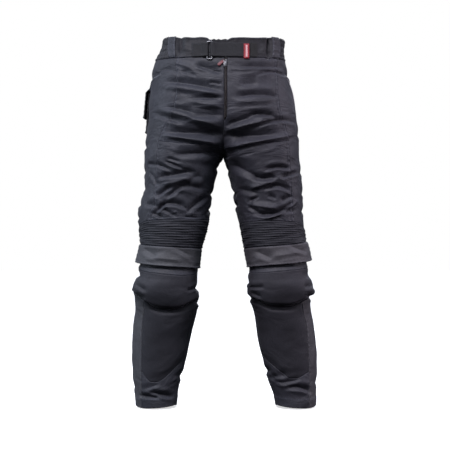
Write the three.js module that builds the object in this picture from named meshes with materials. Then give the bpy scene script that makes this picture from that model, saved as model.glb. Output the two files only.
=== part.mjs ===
// Textile motorcycle trousers, hollow and upright as when worn.
// Millimetres. +Z is up, the front faces -Y, +X is the wearer's left.
// The origin is the middle of the waistband: halfway up its front, on the body's centre line.
import * as THREE from 'three';

// Driving sizes
const BAND_TOP = 29;
const BAND_BOTTOM = -28;
const CROTCH_Z = -303;
const HEM_Z = -1020;
const WALL = 1.8;
const SOLID_FOLD_WIDTH = 1.25;
const SEAM_GAP = 0.3;
const LAYER_GAP = 0.4;
const RISE_SPAN = 330;
const BACK_RISE = 10;
const BACK_EDGE_RISE = 14;
const BACK_RISE_FADE = 170;

// Fly zip: where its chain runs and how wide the gap is that shows it
const ZIP_X = 6;
const ZIP_GAP = 8;
const ZIP_BOTTOM = -204;
const ZIP_FADE = 14;

// Waist adjuster: 40 mm webbing folded round the two long bars of a wire ring
const STRAP_TOP = 12.5;
const STRAP_BOTTOM = -27.5;
const STRAP_THICK = 1.6;
const STRAP_END = 71;
const UNDER_END = 45;
const TAB_END = -88;
const RING = { x: -39, z: -10, barToBar: 13, height: 50, wire: 2 };
const RING_OUT = LAYER_GAP + STRAP_THICK + RING.wire + 0.8;
const TAG = { from: 56, to: 71, top: 9.5, bottom: -33, thick: 1.2 };
const HOOK_TAPE = { from: 74.5, to: 94, top: 13, bottom: -27.4, thick: 2.2 };

// Fly slider and the pull that hangs from its wire bridge
const SLIDER = { x: 4.5, top: -35, bottom: -56, wide: 10, thick: 2.2, lift: 0.6 };
const BRIDGE = { x: 3, z: -38, radius: 3.2, wire: 0.7 };
const PULL = { length: 24, wide: 8, thick: 1.4, hole: 2.2, bar: 0.8 };
const PULL_SLOPE = [-0.8, -0.6];

// Stretch panels
const RIBS = 10;
const RIB_DEPTH = 2.6;

// Cloth colours
const COLOURS = {
  shell: '#43464d',
  side: '#4a4a4e',
  stretch: '#2d2f35',
  armour: '#26282c',
  band: '#3e3f45',
  webbing: '#33353b',
  hook: '#111113',
  metal: '#8b8d90',
  zip: '#1b1a1c',
  red: '#a8323c',
  piping: '#b9bcc0',
  pocket: '#0f1012',
};

// Sections of each half, from the waist down. Distances are from the centre line:
// outer and inner reach sideways, front and back reach forward and backward, square rounds the section.
const COLUMNS = ['z', 'outer', 'inner', 'front', 'back', 'square'];
const SECTIONS = {
  R: [
    [60, 173, 0, 114, 120, 2.4],
    [28, 175, 0, 116, 121, 2.4],
    [0, 182, 0, 119, 123, 2.4],
    [-30, 197, 0, 124, 128, 2.4],
    [-70, 206, 0, 131, 137, 2.4],
    [-137, 213, 0, 138, 150, 2.4],
    [-205, 218, 0, 138, 155, 2.4],
    [-270, 225, 0, 134, 146, 2.4],
    [-303, 228, 0, 132, 134, 2.4],
    [-318, 228, 10, 130, 129, 2.35],
    [-356, 227, 20, 126, 118, 2.3],
    [-406, 230, 32, 121, 108, 2.3],
    [-456, 245, 38, 118, 99, 2.3],
    [-507, 242, 46, 114, 90, 2.3],
    [-557, 238, 60, 110, 80, 2.3],
    [-591, 238, 68, 108, 75, 2.3],
    [-624, 239, 74, 108, 71, 2.3],
    [-650, 241, 77, 109, 69, 2.3],
    [-675, 256, 79, 108, 68, 2.3],
    [-708, 255, 72, 100, 70, 2.3],
    [-742, 254, 77, 88, 76, 2.3],
    [-792, 261, 88, 82, 85, 2.2],
    [-843, 264, 99, 76, 88, 2.2],
    [-893, 264, 110, 70, 86, 2.2],
    [-944, 261, 124, 66, 80, 2.2],
    [-994, 255, 133, 64, 76, 2.2],
    [-1040, 250, 138, 64, 75, 2.2],
  ],
  L: [
    [60, 177, 0, 114, 120, 2.4],
    [28, 176, 0, 116, 121, 2.4],
    [0, 173, 0, 119, 123, 2.4],
    [-30, 178, 0, 124, 128, 2.4],
    [-70, 186, 0, 131, 137, 2.4],
    [-137, 201, 0, 138, 150, 2.4],
    [-205, 212, 0, 138, 155, 2.4],
    [-270, 217, 0, 134, 146, 2.4],
    [-303, 218, 0, 132, 134, 2.4],
    [-318, 219, 4, 130, 129, 2.35],
    [-356, 224, 14, 126, 118, 2.3],
    [-406, 227, 27, 121, 108, 2.3],
    [-456, 228, 35, 118, 99, 2.3],
    [-507, 231, 48, 114, 90, 2.3],
    [-557, 238, 57, 110, 80, 2.3],
    [-591, 238, 66, 108, 75, 2.3],
    [-624, 238, 74, 108, 71, 2.3],
    [-650, 240, 72, 109, 69, 2.3],
    [-675, 255, 71, 108, 68, 2.3],
    [-708, 250, 75, 100, 70, 2.3],
    [-742, 252, 87, 88, 76, 2.3],
    [-792, 261, 94, 82, 85, 2.2],
    [-843, 267, 102, 76, 88, 2.2],
    [-893, 270, 116, 70, 86, 2.2],
    [-944, 268, 128, 66, 80, 2.2],
    [-994, 267, 146, 64, 76, 2.2],
    [-1040, 264, 152, 64, 75, 2.2],
  ],
};

// Folds: which half, which face, two ends, width, depth and bow. A trough has a depth below zero.
// Across is the distance from the centre line on the front and back, and y on the outside and inside.
const FOLD_COLUMNS = ['half', 'face', 'a1', 'z1', 'a2', 'z2', 'width', 'depth', 'bow'];
const FOLDS = [
  ['R', 'front', 100, -48, 15, -64, 9, -4, 0],
  ['R', 'front', 172, -95, 7, -104, 10, -6, 0],
  ['R', 'front', 172, -118, 7, -126, 11, 4, 0],
  ['R', 'front', 91, -136, 7, -145, 9, -5, 0],
  ['R', 'front', 94, -152, 7, -166, 10, 4, 0],
  ['R', 'front', 161, -168, 75, -194, 9, -6, 0],
  ['R', 'front', 85, -198, 4, -208, 9, -7, 0],
  ['R', 'front', 178, -180, 10, -228, 12, 8, 0],
  ['R', 'front', 161, -238, 4, -249, 13, -11, 0],
  ['R', 'front', 161, -252, 10, -270, 9, 6, 0],
  ['R', 'front', 127, -310, 4, -294, 16, -8, 0],
  ['R', 'front', 183, -319, 147, -353, 8, -6, 0],
  ['R', 'front', 163, -323, 113, -346, 8, -5, 0],
  ['R', 'front', 175, -370, 83, -356, 10, -7, 0],
  ['R', 'front', 169, -390, 80, -374, 11, 7, 0],
  ['R', 'front', 192, -428, 139, -403, 9, -6, 0],
  ['R', 'front', 155, -434, 80, -395, 10, -7, 0],
  ['R', 'front', 80, -395, 29, -414, 9, -5, 0],
  ['R', 'front', 188, -476, 150, -448, 9, -7, 0],
  ['R', 'front', 150, -448, 100, -466, 9, -7, 0],
  ['R', 'front', 242, -664, 200, -686, 9, -6, 0],
  ['R', 'front', 231, -924, 130, -910, 10, 5, -26],
  ['R', 'front', 225, -958, 185, -964, 8, -4, 0],
  ['R', 'front', 239, -988, 147, -984, 9, -6, 6],
  ['L', 'front', 46, -60, 130, -66, 9, -4, 0],
  ['L', 'front', 113, -73, 162, -70, 8, -4, 0],
  ['L', 'front', 35, -140, 146, -134, 10, -6, 0],
  ['L', 'front', 24, -164, 136, -157, 11, 5, 0],
  ['L', 'front', 18, -222, 136, -190, 10, -7, 0],
  ['L', 'front', 25, -234, 130, -206, 9, 6, 0],
  ['L', 'front', 97, -219, 146, -204, 8, -5, 0],
  ['L', 'front', 10, -246, 158, -243, 14, -10, 0],
  ['L', 'front', 13, -270, 155, -250, 9, 6, 0],
  ['L', 'front', 24, -325, 108, -372, 13, -8, 0],
  ['L', 'front', 125, -355, 197, -347, 9, -7, 6],
  ['L', 'front', 94, -375, 155, -370, 9, -7, 0],
  ['L', 'front', 175, -370, 215, -356, 8, -6, 0],
  ['L', 'front', 125, -412, 206, -414, 10, -8, 20],
  ['L', 'front', 108, -442, 168, -430, 11, 6, 0],
  ['L', 'front', 178, -442, 214, -428, 8, -5, 0],
  ['L', 'front', 60, -445, 108, -476, 10, -6, 0],
  ['L', 'front', 87, -466, 181, -451, 11, -8, -14],
  ['L', 'front', 80, -661, 120, -680, 9, -5, 0],
  ['L', 'front', 210, -700, 242, -680, 9, -6, 0],
  ['L', 'front', 119, -886, 253, -910, 10, 5, -24],
  ['L', 'front', 144, -950, 214, -938, 10, -8, 0],
  ['L', 'front', 155, -967, 225, -937, 9, 5, 0],
  ['L', 'front', 181, -955, 248, -974, 10, -7, 0],
  ['R', 'back', 30, -140, 160, -112, 12, -5, 0],
  ['R', 'back', 40, -215, 180, -190, 12, -6, 0],
  ['R', 'back', 20, -322, 170, -290, 15, -9, 10],
  ['R', 'back', 50, -420, 190, -400, 13, -5, 0],
  ['R', 'back', 75, -588, 222, -602, 12, -8, 0],
  ['R', 'back', 85, -634, 228, -622, 12, -8, 0],
  ['R', 'back', 95, -668, 215, -680, 11, -6, 0],
  ['R', 'back', 110, -800, 240, -776, 14, -5, 0],
  ['R', 'back', 140, -940, 240, -958, 11, -6, 0],
  ['L', 'back', 35, -128, 150, -104, 12, -5, 0],
  ['L', 'back', 30, -222, 175, -184, 12, -6, 0],
  ['L', 'back', 18, -330, 180, -296, 15, -9, 10],
  ['L', 'back', 60, -436, 200, -404, 13, -5, 0],
  ['L', 'back', 78, -598, 220, -584, 12, -8, 0],
  ['L', 'back', 82, -626, 225, -636, 12, -8, 0],
  ['L', 'back', 90, -676, 205, -662, 11, -6, 0],
  ['L', 'back', 120, -786, 240, -812, 14, -5, 0],
  ['L', 'back', 150, -952, 245, -930, 11, -6, 0],
  ['R', 'outside', -70, -150, 50, -172, 11, -4, 0],
  ['R', 'outside', -50, -352, 60, -380, 11, -6, 0],
  ['R', 'outside', -70, -432, 55, -420, 11, -6, 0],
  ['R', 'outside', -60, -640, 50, -622, 11, -6, 0],
  ['R', 'outside', -40, -962, 55, -976, 10, -5, 0],
  ['L', 'outside', -60, -160, 60, -142, 11, -4, 0],
  ['L', 'outside', -60, -392, 50, -366, 11, -6, 0],
  ['L', 'outside', -50, -470, 60, -440, 11, -6, 0],
  ['L', 'outside', -60, -676, 50, -662, 11, -6, 0],
  ['L', 'outside', -40, -946, 55, -966, 10, -5, 0],
  ['R', 'inside', -60, -372, 50, -352, 11, -5, 0],
  ['R', 'inside', -60, -530, 55, -512, 11, -5, 0],
  ['R', 'inside', -60, -690, 45, -672, 10, -6, 0],
  ['L', 'inside', -60, -384, 50, -356, 11, -5, 0],
  ['L', 'inside', -60, -520, 55, -534, 11, -5, 0],
  ['L', 'inside', -60, -700, 45, -690, 10, -6, 0],
];

// Seams that run down each half, as z and distance from the centre line on the front
const SIDE_FRONT_SEAM = {
  R: [[60, 130], [-78, 133], [-148, 136], [-204, 156], [-249, 178], [-330, 188], [-428, 193], [-520, 195]],
  L: [[60, 148], [-67, 152], [-148, 155], [-199, 166], [-246, 180], [-330, 187], [-428, 192], [-520, 194]],
};
const SHIN_SEAM = {
  R: [[-700, 234], [-740, 232], [-800, 232], [-900, 234], [-1040, 234]],
  L: [[-700, 230], [-740, 232], [-800, 238], [-900, 244], [-1040, 244]],
};

// Seams that cross each half, as share of the way from the inseam to the outside, and z
const CROSS_SEAMS = {
  R: {
    yoke: [[0, -283], [0.5, -266], [1, -249]],
    stretchTop: [[0, -486], [0.25, -483], [0.6, -484], [0.85, -495], [1, -512]],
    stretchBottom: [[0, -566], [0.3, -562], [1, -551]],
    flapBottom: [[0, -619], [0.2, -620], [1, -604]],
    capTop: [[0, -632], [0.3, -640], [0.6, -634], [1, -622]],
    capBottom: [[0, -712], [0.22, -720], [0.52, -737], [0.78, -702], [1, -690]],
    shinBottom: [
      [0, -872], [0.19, -895], [0.33, -921], [0.43, -938], [0.52, -944], [0.61, -936], [0.7, -914], [1, -896],
    ],
  },
  L: {
    yoke: [[0, -283], [0.5, -266], [1, -246]],
    stretchTop: [[0, -503], [0.25, -490], [0.7, -490], [0.88, -500], [1, -514]],
    stretchBottom: [[0, -564], [0.3, -560], [1, -543]],
    flapBottom: [[0, -618], [0.2, -616], [1, -598]],
    capTop: [[0, -634], [0.3, -634], [0.6, -626], [1, -620]],
    capBottom: [[0, -702], [0.24, -712], [0.46, -729], [0.71, -718], [1, -692]],
    shinBottom: [
      [0, -868], [0.29, -905], [0.43, -929], [0.52, -934], [0.61, -928], [0.72, -916], [1, -905],
    ],
  },
};

// Where the panels change on the outside and back, as shares round the section: 1 is the outside, 2 the inseam
const BACK_SEAM = 1.14;
const KNEE_OUTER = 1.04;
const KNEE_SPLIT = 0.72;
const SIDE_SEAM_FROM = -440;
const SIDE_SEAM_TO = -700;
const SEAT_BOTTOM = -318;
const BACK_KNEE = -602;
const HIP_ROWS = 16;
const THIGH_ROWS = 14;
const OUTER_COLUMNS = 5;
const BACK_ROWS = { seat: 11, thigh: 10, calf: 14 };

// Top edge of the waistband's fronts, as distance from the centre line and z
const BAND_EDGE = {
  R: [[0, 13], [25, 14], [37, 18], [50, 28], [90, 29], [160, 36]],
  L: [[0, 13], [6, 15], [12, 22], [32, 28], [90, 29], [160, 35]],
};
const SIDE_TOP = { R: 36, L: 32 };
const BAND_FRONT_END = { R: 156, L: 158 };
const GATHERS = 32;
const GATHER_DEPTH = 1.6;
const LOOPS = { R: [134, 154], L: [136, 156] };
const LOOP_TOP = { R: 35, L: 34 };
const BACK_LOOP_SHARES = [1.58, 1.68];
// Wider than half a gap, for a side edge that follows the back panels' rows
const FOLLOWED_GAP = 0.45;
// How far a wall's inner edge is drawn in at the sides, as a share of its thickness
const EDGE_BEVEL = 0.6;
const SEAM_ROUNDS = 8;

const mix = (a, b, t) => a + (b - a) * t;
const clamp01 = (t) => Math.min(1, Math.max(0, t));
const smooth = (lo, hi, t) => {
  const s = clamp01((t - lo) / (hi - lo));
  return s * s * (3 - 2 * s);
};
const radians = THREE.MathUtils.degToRad;
const signedPower = (value, power) => Math.sign(value) * Math.abs(value) ** power;
const reach = (half, x) => (half === 'R' ? -x : x);

// A table of rows read as a smooth curve: the first column is the place, the chosen one the value
function along(rows, place, column = 1) {
  const up = rows[rows.length - 1][0] > rows[0][0] ? 1 : -1;
  const inside = up * Math.min(Math.max(place * up, rows[0][0] * up), rows[rows.length - 1][0] * up);
  let i = 0;
  while (i < rows.length - 2 && up * inside > up * rows[i + 1][0]) i += 1;
  const slope = (k) => {
    const before = rows[Math.max(0, k - 1)];
    const after = rows[Math.min(rows.length - 1, k + 1)];
    return (after[column] - before[column]) / (after[0] - before[0]);
  };
  const span = rows[i + 1][0] - rows[i][0];
  const t = (inside - rows[i][0]) / span;
  const start = rows[i][column] + slope(i) * span * t;
  const end = rows[i + 1][column] - slope(i + 1) * span * (1 - t);
  return mix(start, end, t * t * (3 - 2 * t));
}

function section(half, z) {
  const row = {};
  for (const name of COLUMNS.slice(1)) row[name] = along(SECTIONS[half], z, COLUMNS.indexOf(name));
  const height = Math.max(0, z - CROTCH_Z);
  const cut = height > 0 ? (1 - clamp01(height / RISE_SPAN)) ** 2 : 1;
  const legMiddle = (row.outer + Math.max(0, row.inner)) / 2;
  const middle = height > 0 ? row.outer * cut / (1 + cut) : legMiddle;
  return {
    middle,
    across: row.outer - middle,
    centreY: (row.back - row.front) / 2,
    deep: (row.back + row.front) / 2,
    square: row.square,
    first: Math.acos(height > 0 ? cut ** (row.square / 2) : 1),
  };
}

// Share round the section of a point on the front at a distance from the centre line
function shareAt(half, z, distance) {
  const s = section(half, z);
  const cosine = signedPower((s.middle - distance) / s.across, s.square / 2);
  const angle = Math.acos(Math.min(1, Math.max(-1, cosine)));
  return (angle - s.first) / (Math.PI - s.first);
}

function angleAt(s, share) {
  return s.first + (Math.PI - s.first) * share;
}

function bareSkin(half, share, z) {
  const s = section(half, z);
  const angle = angleAt(s, share);
  const x = s.middle - s.across * signedPower(Math.cos(angle), 2 / s.square);
  const y = s.centreY - s.deep * signedPower(Math.sin(angle), 2 / s.square);
  const raised = BACK_RISE * smooth(BACK_SEAM, 1.8, share) * smooth(-BACK_RISE_FADE, 0, z);
  return new THREE.Vector3(reach(half, x), y, z + raised);
}

function outward(half, share, z) {
  const step = 0.01;
  const rise = 3;
  const across = bareSkin(half, share + step, z).sub(bareSkin(half, share - step, z));
  const down = bareSkin(half, share, z - rise).sub(bareSkin(half, share, z + rise));
  const normal = across.cross(down).normalize();
  return half === 'L' ? normal.negate() : normal;
}

function faceWeight(face, angle, z) {
  if (face === 'front') return smooth(0.05, 0.45, Math.sin(angle));
  if (face === 'back') return smooth(0.05, 0.45, -Math.sin(angle));
  if (face === 'outside') return smooth(0.3, 0.75, -Math.cos(angle));
  return smooth(0.3, 0.75, Math.cos(angle)) * smooth(0, 40, CROTCH_Z - z);
}

const foldRows = FOLDS.map((row) => Object.fromEntries(FOLD_COLUMNS.map((name, i) => [name, row[i]])));

// How far the folds push the cloth out at one place
function foldHeight(half, share, z) {
  const s = section(half, z);
  const angle = angleAt(s, share);
  const point = bareSkin(half, share, z);
  let height = 0;
  for (const fold of foldRows) {
    if (fold.half !== half) continue;
    const across = fold.face === 'front' || fold.face === 'back' ? Math.abs(point.x) : point.y;
    const run = { a: fold.a2 - fold.a1, z: fold.z2 - fold.z1 };
    const length = Math.hypot(run.a, run.z);
    const t = ((across - fold.a1) * run.a + (z - fold.z1) * run.z) / (length * length);
    const ends = smooth(-0.12, 0.25, t) * smooth(-0.12, 0.25, 1 - t);
    if (ends === 0) continue;
    const side = Math.sign(run.a) || 1;
    const width = fold.width * SOLID_FOLD_WIDTH;
    const off = side * ((z - fold.z1) * run.a - (across - fold.a1) * run.z) / length - fold.bow * 4 * t * (1 - t);
    height += fold.depth * ends * Math.exp(-((off / width) ** 2)) * faceWeight(fold.face, angle, z);
  }
  return height;
}

// A point on the cloth, moved out from it
function skin(half, share, z, out = 0) {
  const point = bareSkin(half, share, z);
  point.addScaledVector(outward(half, share, z), out + foldHeight(half, share, z));
  return point;
}

// A closed wall from a grid of outer points and the matching inner points
function wallGeometry(outer, inner) {
  const columns = outer.length;
  const rows = outer[0].length;
  const count = columns * rows;
  const positions = [...outer.flat(), ...inner.flat()].flatMap((p) => [p.x, p.y, p.z]);
  const at = (i, j, layer) => layer * count + i * rows + j;
  const faces = [];
  const quad = (a, b, c, d) => faces.push(a, b, c, a, c, d);
  for (let i = 0; i < columns - 1; i += 1) {
    for (let j = 0; j < rows - 1; j += 1) {
      quad(at(i, j, 0), at(i, j + 1, 0), at(i + 1, j + 1, 0), at(i + 1, j, 0));
      quad(at(i, j, 1), at(i + 1, j, 1), at(i + 1, j + 1, 1), at(i, j + 1, 1));
    }
  }
  for (let i = 0; i < columns - 1; i += 1) {
    quad(at(i, 0, 0), at(i + 1, 0, 0), at(i + 1, 0, 1), at(i, 0, 1));
    quad(at(i, rows - 1, 0), at(i, rows - 1, 1), at(i + 1, rows - 1, 1), at(i + 1, rows - 1, 0));
  }
  for (let j = 0; j < rows - 1; j += 1) {
    quad(at(0, j, 0), at(0, j, 1), at(0, j + 1, 1), at(0, j + 1, 0));
    quad(at(columns - 1, j, 0), at(columns - 1, j + 1, 0), at(columns - 1, j + 1, 1), at(columns - 1, j, 1));
  }
  return facingOut(positions, faces);
}

function facingOut(positions, faces) {
  const geometry = new THREE.BufferGeometry();
  geometry.setAttribute('position', new THREE.Float32BufferAttribute(positions, 3));
  geometry.setIndex(volume(positions, faces) < 0 ? faces.map((v, i) => faces[i - (i % 3) + 2 - (i % 3)]) : faces);
  geometry.computeVertexNormals();
  return geometry;
}

function volume(positions, faces) {
  const corner = (k) => new THREE.Vector3().fromArray(positions, faces[k] * 3);
  let total = 0;
  for (let k = 0; k < faces.length; k += 3) total += corner(k).dot(corner(k + 1).cross(corner(k + 2)));
  return total;
}

// Keeps a point on its own side of the centre line, where the two halves meet
function keepToOwnSide(half, point, z, share, inset) {
  const side = half === 'R' ? -1 : 1;
  const open = share < 1 ? flyOpening(half, z) : 0;
  const least = open + SEAM_GAP / 2 + inset;
  if (point.x * side < least) point.x = least * side;
  return point;
}

// Distance from the centre line to the edge of each front, where the fly zip shows between them
function flyOpening(half, z) {
  const edge = half === 'R' ? -(ZIP_X - ZIP_GAP / 2) : ZIP_X + ZIP_GAP / 2;
  return edge * smooth(ZIP_BOTTOM - ZIP_FADE, ZIP_BOTTOM + ZIP_FADE, z);
}

const level = (z) => () => z;
const at = (share) => () => share;
const seam = (half, name) => (share) => along(CROSS_SEAMS[half][name], share);

// Every height at which the back panels have a row of points, so that their neighbours can follow them
function evenSteps(from, to, count) {
  return Array.from({ length: count }, (_, k) => mix(from, to, k / count));
}

const BACK_LEVELS = [
  ...evenSteps(BAND_BOTTOM, SEAT_BOTTOM, BACK_ROWS.seat),
  ...evenSteps(SEAT_BOTTOM, BACK_KNEE, BACK_ROWS.thigh),
  ...evenSteps(BACK_KNEE, HEM_Z, BACK_ROWS.calf),
  HEM_Z,
];

// Which stretch of the panel a column is in, and where in it
function columnPlace(across, i) {
  let left = i;
  for (let k = 1; k < across.length; k += 1) {
    const [stop, columns] = across[k];
    if (left <= columns) return { from: across[k - 1][0], to: stop, t: left / columns };
    left -= columns;
  }
  throw new Error('column outside the panel');
}

// Places the points of a panel. across lists the seams it spans, as share round the section by height,
// with the number of columns up to each. top and bottom are heights by share.
function panelGrid(half, shape) {
  const { across, rows, thick = WALL, relief, out = () => 0, inside, keep = keepToOwnSide } = shape;
  const gap = SEAM_GAP / 2;
  const columns = across.slice(1).reduce((sum, [, count]) => sum + count, 0);
  const outer = [];
  const inner = [];
  for (let i = 0; i <= columns; i += 1) {
    const { from, to, t } = columnPlace(across, i);
    const c = i / columns;
    outer.push([]);
    inner.push([]);
    for (let j = 0; j <= rows; j += 1) {
      const r = j / rows;
      const shareOn = (z) => {
        const perShare = bareSkin(half, 0.52, z).distanceTo(bareSkin(half, 0.48, z)) / 0.04;
        const inset = (i === 0 ? gap : 0) - (i === columns ? (shape.follow ? FOLLOWED_GAP : gap) : 0);
        return mix(from(z), to(z), t) + inset / perShare;
      };
      let z = (BAND_BOTTOM + CROTCH_Z) / 2;
      for (let round = 0; round < SEAM_ROUNDS; round += 1) {
        const share = shareOn(z);
        z = shape.height ? shape.height(share, j) : mix(shape.top(share) - gap, shape.bottom(share) + gap, r);
      }
      const lift = out(c, r);
      const under = inside ? inside(c, r) : lift - thick;
      const place = (height, offset, inset) => {
        const share = shareOn(height);
        return keep(half, skin(half, share, height, offset), height, share, inset);
      };
      const follow = (shape.follow && i === columns) || (shape.followInseam && i === 0);
      const put = (offset, inset) => (follow ? onBackSeam(z, (h) => place(h, offset, inset)) : place(z, offset, inset));
      outer[i].push(put(lift + (relief ? relief(c, j) : 0), 0));
      inner[i].push(put(under, i === 0 || i === columns ? EDGE_BEVEL * (lift - under) : 0));
    }
  }
  return [outer, inner];
}

// A point on the straight line between the two rows of the back panel that it lies between
function onBackSeam(z, place) {
  let k = 0;
  while (k < BACK_LEVELS.length - 2 && z < BACK_LEVELS[k + 1]) k += 1;
  const t = (z - BACK_LEVELS[k]) / (BACK_LEVELS[k + 1] - BACK_LEVELS[k]);
  return place(BACK_LEVELS[k]).lerp(place(BACK_LEVELS[k + 1]), t);
}

const trousers = new THREE.Group();
trousers.name = 'motorcycle_trousers';

function add(name, geometry, colour, options = {}) {
  const { roughness = 0.9, metalness = 0 } = options;
  const material = new THREE.MeshStandardMaterial({ color: COLOURS[colour], roughness, metalness });
  const mesh = new THREE.Mesh(geometry, material);
  mesh.name = name;
  trousers.add(mesh);
  return mesh;
}

function addPanel(name, half, colour, shape) {
  const [outer, inner] = panelGrid(half, shape);
  add(`${name}_${half}`, wallGeometry(outer, inner), colour);
}

const frontEdge = (half) => (z) => shareAt(half, z, flyOpening(half, z));

// A seam by height, eased to the common split at the knee
function seamShare(half, rows, kneeFrom, kneeTo) {
  return (z) => mix(shareAt(half, z, along(rows[half], z)), KNEE_SPLIT, smooth(kneeFrom, kneeTo, z));
}

const sideFront = (half) => seamShare(half, SIDE_FRONT_SEAM, -430, -480);
const shinSide = (half) => seamShare(half, SHIN_SEAM, -800, -742);
const kneeOuter = (z) => mix(BACK_SEAM, KNEE_OUTER, clamp01((SIDE_SEAM_FROM - z) / (SIDE_SEAM_FROM - SIDE_SEAM_TO)));

// Hips, seat and thighs
function upperLeg(half) {
  const yoke = seam(half, 'yoke');
  const stretchTop = seam(half, 'stretchTop');
  const sideSeam = sideFront(half);
  addPanel('hip_front', half, 'shell', {
    across: [[frontEdge(half)], [sideSeam, 11]], top: level(BAND_BOTTOM), bottom: yoke, rows: HIP_ROWS,
  });
  addPanel('thigh_front', half, 'shell', {
    across: [[at(0)], [sideSeam, 10]], top: yoke, bottom: stretchTop, rows: THIGH_ROWS,
  });
  const corner = yoke(sideSeam(-250));
  addPanel('side_panel', half, 'shell', {
    across: [[sideSeam], [kneeOuter, OUTER_COLUMNS]],
    height: (share, row) => (row < HIP_ROWS
      ? mix(BAND_BOTTOM - SEAM_GAP / 2, corner, row / HIP_ROWS)
      : mix(corner, stretchTop(share) + SEAM_GAP / 2, (row - HIP_ROWS) / THIGH_ROWS)),
    rows: HIP_ROWS + THIGH_ROWS,
    follow: true,
  });
  addPanel('seat', half, 'shell', {
    across: [[at(BACK_SEAM)], [at(2), 7]], top: level(BAND_BOTTOM), bottom: level(SEAT_BOTTOM), rows: BACK_ROWS.seat,
  });
  addPanel('back_thigh', half, 'shell', {
    across: [[kneeOuter], [at(2), 7]], top: level(SEAT_BOTTOM), bottom: level(BACK_KNEE), rows: BACK_ROWS.thigh,
  });
}

// Knee, shin and ankle
function lowerLeg(half) {
  const cross = (name) => seam(half, name);
  const ribRows = RIBS * 2;
  const shinRows = 7;
  const shinCorner = cross('shinBottom')(shinSide(half)(-905));
  addPanel('stretch', half, 'stretch', {
    across: [[at(0)], [at(KNEE_SPLIT), 10], [kneeOuter, OUTER_COLUMNS]],
    top: cross('stretchTop'),
    bottom: cross('stretchBottom'),
    rows: ribRows,
    followInseam: true,
    relief: (c, row) => (row % 2 === 1 ? RIB_DEPTH * Math.sin(Math.PI * clamp01(c)) ** 0.3 : 0),
    follow: true,
  });
  addPanel('knee_band', half, 'shell', {
    across: [[at(0)], [at(KNEE_SPLIT), 10], [kneeOuter, OUTER_COLUMNS]],
    top: cross('stretchBottom'),
    bottom: cross('capTop'),
    rows: 6,
    followInseam: true,
    follow: true,
  });
  addPanel('knee_flap', half, 'side', {
    across: [[at(0.07)], [at(0.97), 11]],
    top: (share) => cross('stretchBottom')(share) - 2,
    bottom: cross('flapBottom'),
    rows: 3,
    out: (c, r) => WALL + 1.2 + 4 * r + 7 * r * c * c,
  });
  addPanel('knee_cap', half, 'armour', {
    across: [[at(0)], [at(KNEE_SPLIT), 9], [kneeOuter, 4]],
    top: cross('capTop'),
    bottom: cross('capBottom'),
    rows: 7,
    followInseam: true,
    thick: 4,
    out: (c, r) => 12 * Math.sin(Math.PI * clamp01(c)) ** 0.7 * Math.sin(Math.PI * clamp01(r * 0.94 + 0.06)) ** 0.7,
    follow: true,
  });
  addPanel('shin', half, 'armour', {
    across: [[at(0)], [shinSide(half), 9]],
    top: cross('capBottom'),
    bottom: cross('shinBottom'),
    rows: shinRows,
    followInseam: true,
  });
  addPanel('ankle_front', half, 'shell', {
    across: [[at(0)], [shinSide(half), 9]],
    top: cross('shinBottom'),
    bottom: level(HEM_Z),
    rows: shinRows,
    followInseam: true,
  });
  addPanel('side_lower', half, 'side', {
    across: [[shinSide(half)], [kneeOuter, 4]],
    height: (share, row) => (row < shinRows
      ? mix(cross('capBottom')(share) - SEAM_GAP / 2, shinCorner, row / shinRows)
      : mix(shinCorner, HEM_Z, (row - shinRows) / shinRows)),
    rows: shinRows * 2,
    follow: true,
  });
  addPanel('back_calf', half, 'shell', {
    across: [[kneeOuter], [at(2), 7]], top: level(BACK_KNEE), bottom: level(HEM_Z), rows: BACK_ROWS.calf,
  });
}

const distanceShare = (half, distance) => (z) => shareAt(half, z, distance);

// The band's two plain fronts, and the gathered elastic that goes round the back
function waistband() {
  for (const half of ['R', 'L']) {
    const edge = (share) => along(BAND_EDGE[half], Math.abs(bareSkin(half, Math.max(share, 0), 0).x));
    addPanel('waistband_front', half, 'band', {
      across: [[frontEdge(half)], [distanceShare(half, BAND_FRONT_END[half]), 12]],
      top: edge,
      bottom: level(BAND_BOTTOM),
      rows: 3,
    });
  }
  const columns = GATHERS * 2;
  const outer = [];
  const inner = [];
  for (let i = 0; i <= columns; i += 1) {
    const t = i / columns;
    const half = t < 0.5 ? 'R' : 'L';
    const toBack = 1 - Math.abs(2 * t - 1);
    const crest = i % 2 === 1 ? GATHER_DEPTH * (1 + 0.3 * Math.sin(i * 1.7)) : 0;
    const ruffle = i % 2 === 1 ? 0.8 : -0.8;
    const plainTop = mix(SIDE_TOP[half], BAND_TOP, smooth(0, 0.5, toBack));
    const top = plainTop + ruffle + BACK_EDGE_RISE * smooth(0.2, 0.7, toBack);
    const heights = [top, 10, -9, BAND_BOTTOM + SEAM_GAP * 2];
    const place = (z, out) => {
      const first = shareAt(half, z, BAND_FRONT_END[half]) + 0.002;
      return skin(half, mix(first, 2, toBack), z, out);
    };
    outer.push(heights.map((z, j) => place(z, j === 3 ? 0 : crest)));
    inner.push(heights.map((z) => place(z, -WALL)));
  }
  add('waistband_back', wallGeometry(outer, inner), 'band');
}

function beltLoop(name, half, start, stop, lift) {
  addPanel(name, half, 'shell', {
    across: [[start], [stop, 3]],
    top: level(LOOP_TOP[half]),
    bottom: level(BAND_BOTTOM + 1),
    rows: 6,
    thick: 1.5,
    out: (c, r) => lift + 1.5 + 2.4 * Math.sin(Math.PI * clamp01(r)),
  });
}

// A place on the front of the band: x across, z up, out from the cloth
function onBand(x, z, out) {
  const half = x < 0 ? 'R' : 'L';
  const share = shareAt(half, z, Math.abs(x));
  return bareSkin(half, share, z).addScaledVector(outward(half, share, z), out);
}

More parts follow.
